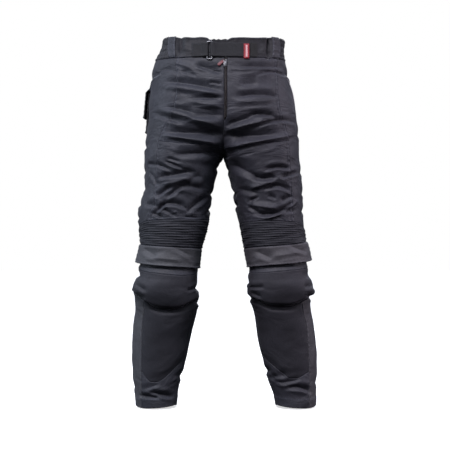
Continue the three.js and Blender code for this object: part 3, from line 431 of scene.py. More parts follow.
def add_node(tree, kind, links=None, values=None, **settings):
    """Adds a node. settings are its properties, values the sockets it sets, links the sockets others feed."""
    made = tree.nodes.new(kind)
    for name, value in settings.items():
        setattr(made, name, value)
    for name, value in (values or {}).items():
        made.inputs[name].default_value = value
    for name, source in (links or {}).items():
        tree.links.new(source, made.inputs[name])
    return made


def new_material(name, **sockets):
    """A material with only its shader and output. sockets are the shader's own, with _ for a space."""
    material = bpy.data.materials.new(name)
    material.use_nodes = True
    tree = material.node_tree
    tree.nodes.clear()
    shader = add_node(tree, "ShaderNodeBsdfPrincipled",
                      values={key.replace("_", " "): value for key, value in sockets.items()})
    add_node(tree, "ShaderNodeOutputMaterial", {"Surface": shader.outputs["BSDF"]})
    return material, tree, shader


def band_scale(spacing):
    """Scale of a wave texture whose bands are spacing millimetres apart on metre coordinates."""
    return 2 * math.pi / 20 / (spacing * MM)


def noise_scale(size):
    """Scale of a noise texture with blotches of size millimetres on metre coordinates."""
    return 1 / (size * MM)


def cloth_tone_and_painted_light(tree, place, fleck, base, worn_and_lit, mottle):
    """Uneven dye, and a paler tone on the ridges beside seams, partly abrasion and partly painted highlight
    where a raised ridge catches the light.
    Over it a painted colour cast: the right leg, on the viewer's left, a trace cooler and the left leg a trace
    warmer, as the two side lights tint them."""
    cloud = add_node(tree, "ShaderNodeTexNoise", {"Vector": place},
                     {"Scale": noise_scale(110), "Detail": 6.0, "Roughness": 0.62}).outputs["Fac"]
    both = add_node(tree, "ShaderNodeMath", {0: cloud, 1: fleck}, operation="ADD").outputs[0]
    dye = add_node(tree, "ShaderNodeMapRange", {"Value": both},
                   {"From Min": 0.85, "From Max": 1.15, "To Min": 1 - mottle, "To Max": 1 + mottle})
    # Paler on the ridges beside seams: abrasion, and a painted highlight where those ridges stand up.
    lift = add_node(tree, "ShaderNodeAttribute", attribute_name="wear_and_highlight").outputs["Fac"]
    rubbed_and_lit = add_node(tree, "ShaderNodeMath", {0: lift, 1: fleck}, operation="MULTIPLY").outputs[0]
    cloth = add_node(tree, "ShaderNodeMix", {"Factor": rubbed_and_lit}, {"A": colour(base), "B": colour(worn_and_lit)},
                     data_type="RGBA")
    # Painted colour cast: the right leg drawn a trace cooler and the left leg a trace warmer, standing in for
    # the tints of the two side lights.
    spot = add_node(tree, "ShaderNodeTexCoord").outputs["Object"]
    sideways = add_node(tree, "ShaderNodeSeparateXYZ", {"Vector": spot}).outputs["X"]
    leg = add_node(tree, "ShaderNodeMapRange", {"Value": sideways}, {"From Min": -0.04, "From Max": 0.06})
    tint = add_node(tree, "ShaderNodeMix", {"Factor": leg.outputs["Result"]},
                    {"A": (0.98, 1.02, 1.03, 1), "B": (1.06, 0.98, 1.0, 1)}, data_type="RGBA")
    toned = add_node(tree, "ShaderNodeVectorMath", {0: cloth.outputs["Result"], 1: tint.outputs["Result"]},
                     operation="MULTIPLY")
    dyed = add_node(tree, "ShaderNodeVectorMath", {0: toned.outputs["Vector"], 1: dye.outputs["Result"]},
                    operation="MULTIPLY")
    return dyed.outputs["Vector"]


def creased_surface(tree, place, relief, bump, crush):
    """The weave's fine relief, and over it the small ridges of a cloth that has been crushed."""
    bumped = add_node(tree, "ShaderNodeBump", {"Height": relief}, {"Strength": bump, "Distance": 0.0005})
    flat = add_node(tree, "ShaderNodeVectorMath", {0: place}, {1: (0.55, 1, 1)}, operation="MULTIPLY")
    ridges = add_node(tree, "ShaderNodeTexNoise", {"Vector": flat.outputs[0]},
                      {"Scale": noise_scale(60), "Detail": 4.0, "Roughness": 0.5, "Offset": 1.0, "Gain": 1.6,
                       "Distortion": 0.6},
                      noise_type="RIDGED_MULTIFRACTAL", normalize=False).outputs["Fac"]
    crushed = add_node(tree, "ShaderNodeBump", {"Height": ridges, "Normal": bumped.outputs["Normal"]},
                       {"Strength": crush, "Distance": 0.005})
    return crushed.outputs["Normal"]


def woven_cloth(name, base, worn_and_lit, spacing, roughness, sheen=0.08, mottle=0.16, bump=0.3, crush=0.45):
    """Woven polyester: crossing threads, uneven dye, a paler tone where seams and edges stand up that is
    partly abrasion and partly painted highlight, a painted colour cast that differs between the legs, and the
    small hard creases of a stiff coated cloth after long use. crush is how strong those creases are.
    spacing is between threads in millimetres, drawn coarser than the real 0.4 mm so that the grain shows."""
    material, tree, shader = new_material(name, Roughness=roughness, IOR=1.5, Sheen_Weight=sheen,
                                          Sheen_Roughness=0.4, Sheen_Tint=colour("#cdd2dc"))
    place = add_node(tree, "ShaderNodeTexCoord").outputs["UV"]
    threads = [add_node(tree, "ShaderNodeTexWave", {"Vector": place},
                        {"Scale": band_scale(spacing), "Distortion": 0.8, "Detail": 1.0, "Detail Scale": 0.6},
                        bands_direction=way).outputs["Fac"] for way in ("X", "Y")]
    grain = add_node(tree, "ShaderNodeMath", {0: threads[0], 1: threads[1]}, operation="MULTIPLY").outputs[0]
    fleck = add_node(tree, "ShaderNodeTexNoise", {"Vector": place},
                     {"Scale": noise_scale(5), "Detail": 3.0, "Roughness": 0.7}).outputs["Fac"]
    relief = add_node(tree, "ShaderNodeMath", {0: grain, 1: fleck}, operation="ADD").outputs[0]
    tree.links.new(cloth_tone_and_painted_light(tree, place, fleck, base, worn_and_lit, mottle), shader.inputs["Base Color"])
    tree.links.new(creased_surface(tree, place, relief, bump, crush), shader.inputs["Normal"])
    return material


def plated_steel():
    """Nickel-plated steel, tumbled: grey metal whose fine scratches break up its gloss."""
    material, tree, shader = new_material("nickel_plated_steel", Metallic=1.0, Base_Color=colour("#6d6e71"))
    place = add_node(tree, "ShaderNodeTexCoord").outputs["Object"]
    scratch = add_node(tree, "ShaderNodeTexNoise", {"Vector": place},
                       {"Scale": noise_scale(1.2), "Detail": 4.0}).outputs["Fac"]
    rough = add_node(tree, "ShaderNodeMapRange", {"Value": scratch}, {"To Min": 0.2, "To Max": 0.45})
    tree.links.new(rough.outputs["Result"], shader.inputs["Roughness"])
    bumped = add_node(tree, "ShaderNodeBump", {"Height": scratch}, {"Strength": 0.1, "Distance": 0.0002})
    tree.links.new(bumped.outputs["Normal"], shader.inputs["Normal"])
    return material


def moulded_pvc():
    """Soft PVC from a mould: dark red with a low gloss and faint specks."""
    material, tree, shader = new_material("dark_red_moulded_pvc", Roughness=0.5, IOR=1.53)
    place = add_node(tree, "ShaderNodeTexCoord").outputs["Object"]
    speck = add_node(tree, "ShaderNodeTexNoise", {"Vector": place},
                     {"Scale": noise_scale(2), "Detail": 3.0}).outputs["Fac"]
    tint = add_node(tree, "ShaderNodeMix", {"Factor": speck},
                    {"A": colour("#4e1019"), "B": colour("#761b28")}, data_type="RGBA")
    tree.links.new(tint.outputs["Result"], shader.inputs["Base Color"])
    bumped = add_node(tree, "ShaderNodeBump", {"Height": speck}, {"Strength": 0.15, "Distance": 0.0002})
    tree.links.new(bumped.outputs["Normal"], shader.inputs["Normal"])
    return material


def build_materials():
    return {
        # The second colour of each is drawn on the ridges beside seams: abrasion with a painted highlight.
        # 600-denier polyester in plain weave, dyed charcoal and coated: ridges catch a soft gloss
        "shell_cloth": woven_cloth("charcoal_woven_polyester", "#2b2c34", "#51525c", 2.4, 0.62, mottle=0.2,
                                   crush=0.36),
        # The same weave a shade paler and smoother, on the flaps and lower side panels
        "side_cloth": woven_cloth("grey_woven_polyester", "#434347", "#616165", 2.4, 0.64, mottle=0.14,
                                  crush=0.2),
        # Elastic rib cloth: darker, with a soft matt face
        "stretch_cloth": woven_cloth("dark_rib_stretch_cloth", "#23242b", "#3c3f48", 2.0, 0.72, sheen=0.1,
                                     crush=0.35),
        # Close-woven abrasion cloth over the knee and shin pads: nearly black and flat
        "armour_cloth": woven_cloth("near_black_abrasion_cloth", "#27272e", "#3f3f47", 2.0, 0.72,
                                    mottle=0.1, crush=0.16),
        # Twill of the waistband, a little warmer than the shell
        "band_cloth": woven_cloth("waistband_twill", "#1d1d23", "#3f3f47", 2.2, 0.68, mottle=0.24, crush=0.5),
        # Polyester webbing: thick threads with a slight shine
        "webbing": woven_cloth("dark_polyester_webbing", "#0e0f14", "#24262d", 3.0, 0.76, bump=0.6,
                               crush=0.2),
        # Hook tape: a black bed of stiff nylon hooks that takes in nearly all light
        "hook_tape": woven_cloth("black_hook_tape", "#0b0b0d", "#1c1c20", 2.6, 0.7, bump=0.9, crush=0),
        # Red satin-woven tape
        "red_woven_tape": woven_cloth("red_woven_tape", "#8e1c26", "#b5434c", 1.6, 0.5, crush=0.2),
        # Pale satin threads woven into the red tape as a plain stripe
        "pale_stripe": woven_cloth("pale_woven_stripe", "#dcb2b3", "#f2dcdc", 1.6, 0.5, crush=0),
        # Knitted zip tape, black with a brown cast
        "zip_tape": woven_cloth("black_zip_tape", "#221e1f", "#3a3330", 1.6, 0.75, crush=0),
        # Coated pocket cloth, drawn near black: painted shade, darker than the shell because the pocket faces
        # sideways and back
        "pocket_cloth": woven_cloth("pocket_cloth_painted_shade", "#0e0f11", "#26282c", 2.4, 0.6, crush=0.4),
        # Glass-bead reflective tape: pale silver grey
        "reflective_piping": woven_cloth("silver_reflective_tape", "#9a9ea5", "#d4d7da", 1.4, 0.35, sheen=0,
                                         crush=0),
        # Bonded polyester thread, a shade paler than the cloth
        "thread": woven_cloth("charcoal_sewing_thread", "#464a56", "#656976", 0.8, 0.55, crush=0),
        # Nylon zip coil, dark brown
        "zip_coil": woven_cloth("dark_nylon_zip_coil", "#2e2827", "#554a46", 1.2, 0.45, sheen=0, crush=0),
        "steel": plated_steel(),
        "moulded_pull": moulded_pvc(),
    }


MATERIALS = build_materials()


# Meshes from grids of points, in millimetres

def grid_faces(columns, rows):
    """Faces between the points of a grid."""
    i, j = np.meshgrid(np.arange(columns - 1), np.arange(rows - 1), indexing="ij")
    a = i * rows + j
    return np.stack([a, a + 1, a + rows + 1, a + rows], -1).reshape(-1, 4)


def wall_faces(columns, rows):
    """Faces of a closed wall: the outer grid, the inner one and the rim between them."""
    count = columns * rows
    ring = np.concatenate([
        np.arange(columns) * rows,
        (columns - 1) * rows + np.arange(1, rows),
        np.arange(columns - 2, -1, -1) * rows + rows - 1,
        np.arange(rows - 2, 0, -1),
    ])
    after = np.roll(ring, -1)
    rim = np.stack([ring, after, after + count, ring + count], -1)
    sheet = grid_faces(columns, rows)
    return np.concatenate([sheet, sheet[:, ::-1] + count, rim])


def volume(points, faces):
    a, b, c, d = (points[faces[:, k]] for k in range(4))
    return float((np.cross(a, b) * c).sum() + (np.cross(a, c) * d).sum())


def make_object(name, points, faces, slot, uv=None, wear_and_highlight=None, body=BODY):
    """A mesh object that rides on a body. uv has one pair for each point, in metres."""
    points = np.asarray(points, float).reshape(-1, 3)
    if volume(points, faces) < 0:
        faces = faces[:, ::-1]
    mesh = bpy.data.meshes.new(name)
    mesh.from_pydata((points * MM).tolist(), [], faces.tolist())
    if uv is not None:
        corner = np.empty(len(mesh.loops), np.int32)
        mesh.loops.foreach_get("vertex_index", corner)
        mesh.uv_layers.new(name="cloth").data.foreach_set("uv", np.asarray(uv, np.float32)[corner].ravel())
    # How much paler each point is drawn: abrasion, and a painted highlight on raised seam ridges.
    if wear_and_highlight is not None:
        rubbed_and_lit = mesh.attributes.new("wear_and_highlight", "FLOAT", "POINT")
        rubbed_and_lit.data.foreach_set("value", np.asarray(wear_and_highlight, np.float32).ravel())
    mesh.shade_smooth()
    made = bpy.data.objects.new(name, mesh)
    bpy.context.scene.collection.objects.link(made)
    mesh.materials.append(MATERIALS[slot])
    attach(made, body)
    return made


def wall_object(name, outer, inner, slot, wear_and_highlight=None):
    """A thin closed shell from grids of outer and inner points. Also gives its width and length in metres."""
    columns, rows = outer.shape[:2]
    across = np.linalg.norm(np.diff(outer, axis=0), axis=-1).mean(axis=1)
    down = np.linalg.norm(np.diff(outer, axis=1), axis=-1).mean(axis=0)
    u = np.concatenate([[0], np.cumsum(across)]) * MM
    v = np.concatenate([[0], np.cumsum(down)]) * MM
    uv = np.stack(np.meshgrid(u, v, indexing="ij"), -1).reshape(-1, 2)
    points = np.concatenate([outer.reshape(-1, 3), inner.reshape(-1, 3)])
    shown = np.zeros(columns * rows) if wear_and_highlight is None else wear_and_highlight.ravel()
    made = make_object(name, points, wall_faces(columns, rows), slot, np.concatenate([uv, uv]),
                       np.concatenate([shown, np.zeros(columns * rows)]))
    return made, u[-1], v[-1]


# Sewing

STITCH = {"long": 3.4, "gap": 1.4, "wide": 1.1, "high": 0.5, "sunk": 0.25, "taper": 0.22, "first": 0.5}


def measured(line):
    """Distance along a line to each of its points."""
    return np.concatenate([[0], np.cumsum(np.linalg.norm(np.diff(line, axis=0), axis=1))])


def along_line(values, length, s):
    """Values that belong to the points of a line, read at distances s along it."""
    return np.stack([np.interp(s, length, values[:, k]) for k in range(values.shape[1])], -1)


def stitch_mesh(lines):
    """Points and faces of the stitches along lines, each a pair of points and normals."""
    points = []
    for line, normal in lines:
        length = measured(line)
        starts = np.arange(STITCH["first"], length[-1] - STITCH["long"], STITCH["long"] + STITCH["gap"])
        if len(starts) == 0:
            continue
        lift = along_line(normal, length, starts)
        lift /= np.linalg.norm(lift, axis=1, keepdims=True)
        a = along_line(line, length, starts)
        b = along_line(line, length, starts + STITCH["long"])
        way = (b - a) / np.linalg.norm(b - a, axis=1, keepdims=True)
        side = np.cross(way, lift) * STITCH["wide"] / 2
        sunk = -STITCH["sunk"] * lift
        top = STITCH["high"] * lift
        inward = way * STITCH["long"] * STITCH["taper"]
        foot = [a + side + sunk, a - side + sunk, b - side + sunk, b + side + sunk]
        crown = [a + inward + top, b - inward + top]
        points.append(np.stack(foot + crown, 1))
    if not points:
        return None
    points = np.concatenate(points)
    shape = np.array([[0, 3, 5, 4], [2, 1, 4, 5], [1, 0, 4, 4], [3, 2, 5, 5], [0, 1, 2, 3]])
    faces = (np.arange(len(points))[:, None, None] * 6 + shape[None]).reshape(-1, 4)
    return points.reshape(-1, 3), faces


def sew(name, lines):
    """One object that holds the stitches of all the lines."""
    made = stitch_mesh(lines)
    if made is None:
        return None
    points, quads = made
    faces = [tuple(dict.fromkeys(q)) for q in quads.tolist()]
    mesh = bpy.data.meshes.new(name)
    mesh.from_pydata((points * MM).tolist(), [], faces)
    thread = bpy.data.objects.new(name, mesh)
    bpy.context.scene.collection.objects.link(thread)
    mesh.materials.append(MATERIALS["thread"])
    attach(thread, BODY)
    return thread


def line_beside(grid, distance, offset):
    """The line across a grid where distance, which grows down its first axis, equals offset."""
    return np.stack([
        [np.interp(offset, distance[:, j], grid[:, j, k]) for j in range(grid.shape[1])] for k in range(3)
    ], -1)


def seam_line(cloth, edge, offset):
    """A line on a made panel at an offset in millimetres from one of its edges, with its normals."""
    outer, normal, distance = cloth["outer"], cloth["normal"], cloth["edges"][edge]
    if edge in ("top", "bottom"):
        outer, normal, distance = outer.transpose(1, 0, 2), normal.transpose(1, 0, 2), distance.T
    if edge in ("stop", "bottom"):
        outer, normal, distance = outer[::-1], normal[::-1], distance[::-1]
    return line_beside(outer, distance, offset), line_beside(normal, distance, offset)


# The panels

def level(z):
    """An edge at one height."""
    return lambda share: np.full_like(np.asarray(share, float), z)


def at(share):
    """An edge at one share round the section."""
    return lambda z: np.full_like(np.asarray(z, float), share)


def seam(half, name, shift=0):
    return lambda share: along(CROSS_SEAMS[half][name], share) + shift


def distance_share(half, distance):
    return lambda z: share_at(half, z, distance)


def front_edge(half):
    return lambda z: share_at(half, z, fly_opening(half, z))


def seam_share(half, rows, knee_from, knee_to):
    return lambda z: mix(share_at(half, z, along(rows[half], z)), KNEE_SPLIT, smooth(knee_from, knee_to, z))


def side_front(half):
    return seam_share(half, SIDE_FRONT_SEAM, *THIGH_SEAM_TURN)


def shin_side(half):
    return seam_share(half, SHIN_SEAM, *SHIN_SEAM_TURN)


def knee_outer(z):
    t = np.clip((SIDE_SEAM_FROM - np.asarray(z, float)) / (SIDE_SEAM_FROM - SIDE_SEAM_TO), 0, 1)
    return mix(BACK_SEAM, KNEE_OUTER, t)


# Lines of points this far from each edge, closer together, so that seams and stitches show crisply
NEAR_EDGE = [0, 0.7, 1.5, 2.4, 3.4, 5.2, 7.2, 8.4, 9.6, 11.4, 14]
# A panel shorter than this has evenly spaced points, about this far apart at most
SHORT_PANEL = 60
SHORT_STEP = 1.8
# A panel's width counts as at least this many of the closely set strips
LEAST_STRIPS = 2.4
# Rounds in which a panel's points settle between edges that depend on each other
SETTLE_ROUNDS = 10


def knots(length, step):
    """Places from 0 to length, close together near both ends."""
    if length < SHORT_PANEL:
        count = max(6, int(round(length / min(step, SHORT_STEP))))
        return np.linspace(0, length, count + 1)
    near = NEAR_EDGE[-1]
    middle = np.linspace(near, length - near, max(3, int(round((length - 2 * near) / step))))
    return np.concatenate([NEAR_EDGE[:-1], middle, length - np.array(NEAR_EDGE[-2::-1])])


def fitted(places, reference, actual):
    """Fractions of an actual length, where the places near both ends keep their distance from the end."""
    near = NEAR_EDGE[-1]
    if reference < SHORT_PANEL:
        return np.broadcast_to(places / reference, np.shape(actual) + (len(places),))
    actual = np.maximum(np.asarray(actual, float), LEAST_STRIPS * near)[..., None]
    middle = near + (places - near) * (actual - 2 * near) / (reference - 2 * near)
    far_end = actual - (reference - places)
    inside = np.where(places <= near, places, np.where(places >= reference - near, far_end, middle))
    return inside / actual


def arc_width(half, start, stop, z):
    """Width of a panel at heights z, along the section."""
    t = np.linspace(0, 1, 25)[:, None]
    z = np.atleast_1d(z)[None, :]
    arc = bare_skin(half, mix(start(z), stop(z), t), z)
    return np.linalg.norm(np.diff(arc, axis=0), axis=-1).sum(axis=0)


def panel_places(half, start, stop, top, bottom, step, row_step):
    """Share and height of every point of a panel, and its distance in millimetres from each edge."""
    shares = np.linspace(0, 2, 21)
    levels = np.linspace(float(np.max(top(shares))), float(np.min(bottom(shares))), 40)
    widths = arc_width(half, start, stop, levels)
    wide = float(widths.mean())
    middle = levels[len(levels) // 2]
    middle_share = 0.5 * float(start(middle) + stop(middle))
    tall = float(top(np.array(middle_share)) - bottom(np.array(middle_share)))
    across = knots(wide, step)
    down = knots(tall, row_step)
    z = np.full((len(across), len(down)), middle)
    for _ in range(SETTLE_ROUNDS):
        width_here = np.interp(-z, -levels, widths)
        c = np.empty_like(z)
        for j in range(z.shape[1]):
            c[:, j] = np.diagonal(fitted(across, wide, width_here[:, j]))
        share = mix(start(z), stop(z), c)
        tall_here = top(share) - bottom(share)
        r = np.empty_like(z)
        for i in range(z.shape[0]):
            r[i] = np.diagonal(fitted(down, tall, tall_here[i]))
        z = mix(top(share), bottom(share), r)
    edges = {
        "start": c * width_here,
        "stop": (1 - c) * width_here,
        "top": r * tall_here,
        "bottom": (1 - r) * tall_here,
    }
    return share, z, c, r, edges


SEAM = {"groove": 1.0, "groove_wide": 1.3, "welt": 1.1, "row": 0.55, "row_wide": 0.9,
        "pucker": 0.45, "pucker_reach": 12, "pucker_pitch": 13, "pucker_drift": 27}


def seam_relief(edges, welts):
    """The groove where two panels meet, and beside it the doubled cloth of a seam with its stitch rows."""
    height = np.zeros_like(edges["start"])
    for name, distance in edges.items():
        height -= SEAM["groove"] * np.exp(-((distance / SEAM["groove_wide"]) ** 2))
        rows = welts.get(name, ())
        if not rows:
            continue
        last = max(rows)
        other = edges["top"] if name in ("start", "stop") else edges["start"]
        height += SEAM["welt"] * smooth(0.2, 1.6, distance) * (1 - smooth(last + 1.2, last + 3, distance))
        for offset in rows:
            height -= SEAM["row"] * np.exp(-(((distance - offset) / SEAM["row_wide"]) ** 2))
        pucker = np.exp(-((distance / SEAM["pucker_reach"]) ** 2)) * smooth(0, 2, distance)
        phase = other * 2 * math.pi / SEAM["pucker_pitch"] + 2.3 * np.sin(other / SEAM["pucker_drift"])
        height += SEAM["pucker"] * pucker * np.sin(phase + len(name))
    return height


CLOTHS = {}
# Longest and shortest of the gentle waves over a panel, and the strip at its edges that they leave calm
WAVE_LENGTHS = (80, 22)
CALM_EDGE = 18
# The ridge beside a sewn edge, drawn paler both as the first place to be rubbed and as a painted highlight
# where it stands up, and how pale it gets at most
RUBBED_LIT_RIDGE = 1.6
MOST_RUBBED_AND_LIT = 0.7


def keep_cloth(label, shell, held, rests_on, **grid):
    """Stands a made shell for its solid, and keeps its flat width and length, how it is held, what it rests on
    and the grid it was made on, where there is one.
    """
    made, wide, long = shell
    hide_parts(label)
    CLOTHS[label] = {"made": made, "flat": (wide, long), "held": held, "rests_on": list(rests_on),
                     "with": [], **grid}


def panel(name, half, slot, start, stop, top, bottom, step=FINE, row_step=None, out=None, inside=None,
          thick=WALL, relief=None, folds=1.0, waves=1.3, welts=None, held="hung", rests_on=(), free=False):
    """Makes one panel as a thin shell, sews it, and stands it for its solid.
    welts gives, for an edge, the distances of its rows of stitches from it."""
    welts = welts or {}
    share, z, c, r, edges = panel_places(half, start, stop, top, bottom, step, row_step or step)
    bare = bare_skin(half, share, z)
    normal = outward(half, share, z)
    u, v = edges["start"], edges["top"]
    seed = sum(ord(letter) for letter in name) * 2 + (1 if half == "R" else 0)
    away = np.minimum.reduce(list(edges.values()))
    lift = out(c, r) if out else 0
    creases = fold_height(half, share, z, bare) * folds
    gentle = crumple(u, v, seed, *WAVE_LENGTHS) * waves * smooth(0, CALM_EDGE, away)
    pressed = seam_relief(edges, welts)
    raised = relief(c, r, u, v) if relief else 0
    height = lift + creases + gentle + pressed + raised
    under = inside(c, r) + creases if inside else height - thick
    outer = pushed(bare, normal, height)
    inner = pushed(bare, normal, under)
    if not free:
        outer = own_side(half, outer, z, share)
        inner = own_side(half, inner, z, share)
    # The ridge beside each sewn edge is drawn paler: abrasion and a painted highlight on the raised welt.
    wear_and_highlight = np.zeros_like(z)
    for edge in welts:
        wear_and_highlight = np.maximum(wear_and_highlight, np.exp(-(((edges[edge] - RUBBED_LIT_RIDGE) / RUBBED_LIT_RIDGE) ** 2)))
    label = f"{name}_{half}"
    shell = wall_object(f"{label}_cloth", outer, inner, slot, wear_and_highlight * MOST_RUBBED_AND_LIT)
    keep_cloth(label, shell, held, rests_on, outer=outer, normal=normal, edges=edges)
    lines = [seam_line(CLOTHS[label], edge, offset) for edge, rows in welts.items() for offset in rows]
    thread = sew(f"{label}_stitches", lines) if lines else None
    if thread:
        CLOTHS[label]["with"].append(thread)


# Rows of stitches: their distances from the edge
DOUBLE = (2.4, 8.4)
SINGLE = (2.4,)
HEM_ROWS = (24, 26.5)


def upper_leg(half):
    side_seam = side_front(half)
    yoke = seam(half, "yoke")
    stretch_top = seam(half, "stretch_top")
    band = level(BAND_BOTTOM)
    panel("hip_front", half, "shell_cloth", front_edge(half), side_seam, band, yoke, step=FINEST,
          welts={"bottom": DOUBLE, "stop": DOUBLE},
          rests_on=[f"side_panel_{half}", f"waistband_front_{half}"])
    panel("thigh_front", half, "shell_cloth", at(0), side_seam, yoke, stretch_top, step=FINEST,
          welts={"stop": DOUBLE, "bottom": SINGLE}, rests_on=[f"hip_front_{half}", f"side_panel_{half}"])
    panel("side_panel", half, "shell_cloth", side_seam, knee_outer, band, stretch_top,
          welts={"stop": SINGLE}, rests_on=[f"waistband_front_{half}", f"seat_{half}"])
    panel("seat", half, "shell_cloth", at(BACK_SEAM), at(2), band, level(SEAT_BOTTOM), step=COARSE,
          welts={"stop": DOUBLE, "bottom": DOUBLE}, rests_on=["waistband_back", f"side_panel_{half}"])
    panel("back_thigh", half, "shell_cloth", knee_outer, at(2), level(SEAT_BOTTOM), level(BACK_KNEE),
          step=COARSE, rests_on=[f"seat_{half}", f"side_panel_{half}"])


def elastic_ribs(c, r, u, v):
    """Puffed rounds between pinched lines, a little wavy and uneven."""
    wander = 0.14 * np.sin(u / 31) + 0.09 * np.sin(u / 13 + 1)
    phase = r * RIBS + wander * np.sin(math.pi * r)
    rounds = np.abs(np.sin(math.pi * phase)) ** 0.6
    strength = 0.72 + 0.28 * np.sin(u / 17 + np.floor(phase) * 1.9)
    shirring = 0.4 * np.sin(u * 2 * math.pi / 8 + np.floor(phase) * 2.3) * rounds
    sides = smooth(0, 0.04, c) * smooth(0, 0.04, 1 - c)
    return (RIB_DEPTH * rounds * strength + shirring) * sides


def across_front(c, power=0.6):
    """Full in the middle of a panel and nothing at its two sides."""
    return np.sin(math.pi * np.clip(c, 0, 1)) ** power


# How far out the knee pad and what hangs from it stand
PAD_OUT = 8
PAD_SWELL = 5
SHIN_OUT = 7
PINCH = 4
FLAP_DROP = 2


def above_cap(c, r):
    """The cloth over the pad's top edge turns out to meet the cap."""
    return PAD_OUT * smooth(0.74, 1.02, r) * across_front(c)


def knee_dome(c, r):
    """The pad pushes the cap out most near its lower edge, where it drops back steeply."""
    swell = (PAD_OUT + PAD_SWELL * smooth(0, 0.55, r)) * (1 - smooth(0.82, 1.02, r))
    return across_front(c) * (swell - PINCH * smooth(0.86, 1, r))


def below_knee(c, r, u, v):
    """The cloth under the cap: pinched at the seam, then standing out and falling back slowly."""
    standing = SHIN_OUT * smooth(1, 15, v) * (1 - smooth(20, 110, v))
    return across_front(c) * (standing - PINCH * (1 - smooth(0, 7, v)))


def above_ankle(c, r, u, v):
    """Where the pad ends inside the shin the cloth sinks before the seam."""
    left = v / np.maximum(r, 1e-3) - v
    return below_knee(c, r, u, v) - PINCH * (1 - smooth(0, 30, left)) * across_front(c, 0.8)


def below_shin(c, r, u, v):
    """Just under the shin's seam the ankle's cloth lies a little lower."""
    return -3 * (1 - smooth(0, 22, v)) * across_front(c, 0.8)


def flap_stand(c, r):
    """The knee flap lies over the band, and stands off most at its lower outer corner."""
    return WALL + 1.6 + 5 * r + 7 * r * c * c


def hem_edge(share):
    """The hem does not hang quite level."""
    return HEM_Z + 2.5 + 2.5 * np.sin(np.asarray(share, float) * 5.5 + 1)


def lower_leg(half):
    def cross(name, shift=0):
        return seam(half, name, shift)

    shin_seam = shin_side(half)
    hem = {"bottom": HEM_ROWS}
    panel("stretch", half, "stretch_cloth", at(0), knee_outer, cross("stretch_top"), cross("stretch_bottom"),
          row_step=1.1, step=2.8, relief=elastic_ribs, waves=0.4, folds=0.5, held="stretched",
          rests_on=[f"thigh_front_{half}", f"knee_band_{half}"])
    panel("knee_band", half, "shell_cloth", at(0), knee_outer, cross("stretch_bottom"), cross("cap_top"),
          out=above_cap, welts={"top": SINGLE}, rests_on=[f"stretch_{half}", f"knee_cap_{half}"])
    panel("knee_flap", half, "side_cloth", at(FLAP_ENDS[0]), at(FLAP_ENDS[1]),
          cross("stretch_bottom", -FLAP_DROP), cross("flap_bottom"),
          welts={"bottom": SINGLE, "start": SINGLE, "stop": SINGLE}, waves=1.6, free=True,
          out=flap_stand, rests_on=[f"knee_band_{half}", f"stretch_{half}"])
    panel("knee_cap", half, "armour_cloth", at(0), knee_outer, cross("cap_top"), cross("cap_bottom"),
          thick=4, out=knee_dome, waves=0.8, rests_on=[f"knee_band_{half}", f"shin_{half}"])
    panel("shin", half, "armour_cloth", at(0), shin_seam, cross("cap_bottom"), cross("shin_bottom"),
          waves=0.9, relief=above_ankle, rests_on=[f"knee_cap_{half}", f"ankle_front_{half}"])
    panel("ankle_front", half, "shell_cloth", at(0), shin_seam, cross("shin_bottom"), hem_edge,
          relief=below_shin, welts=hem, rests_on=[f"shin_{half}", f"side_lower_{half}"])
    panel("side_lower", half, "side_cloth", shin_seam, knee_outer, cross("cap_bottom"), hem_edge,
          welts={"start": SINGLE, **hem}, rests_on=[f"shin_{half}", f"back_calf_{half}"])
    panel("back_calf", half, "shell_cloth", knee_outer, at(2), level(BACK_KNEE), hem_edge, step=COARSE,
          welts={"start": SINGLE, **hem}, rests_on=[f"back_thigh_{half}", f"side_lower_{half}"])


for half in HALVES:
    upper_leg(half)
    lower_leg(half)


# The waistband: two plain fronts, and the gathered elastic that goes round the back

def band_front(half):
    def edge(share):
        return along(BAND_EDGE[half], np.abs(bare_skin(half, np.maximum(share, 0), 0.0)[..., 0]))

    panel("waistband_front", half, "band_cloth", front_edge(half), distance_share(half, BAND_FRONT_END[half]),
          edge, level(BAND_BOTTOM), step=2.6, waves=0.9, folds=0.6,
          welts={"top": SINGLE, "bottom": SINGLE}, rests_on=[f"hip_front_{half}", f"side_panel_{half}"])


GATHERS = 46
GATHER_DEPTH = 1.9
POINTS_A_GATHER = 8
BAND_BACK_ROWS = 44
ELASTIC_ROWS = (22, 8, -6, -20)
# The share round the section that parts the gathered back from each plain front
SIDE_PARTING = 0.002


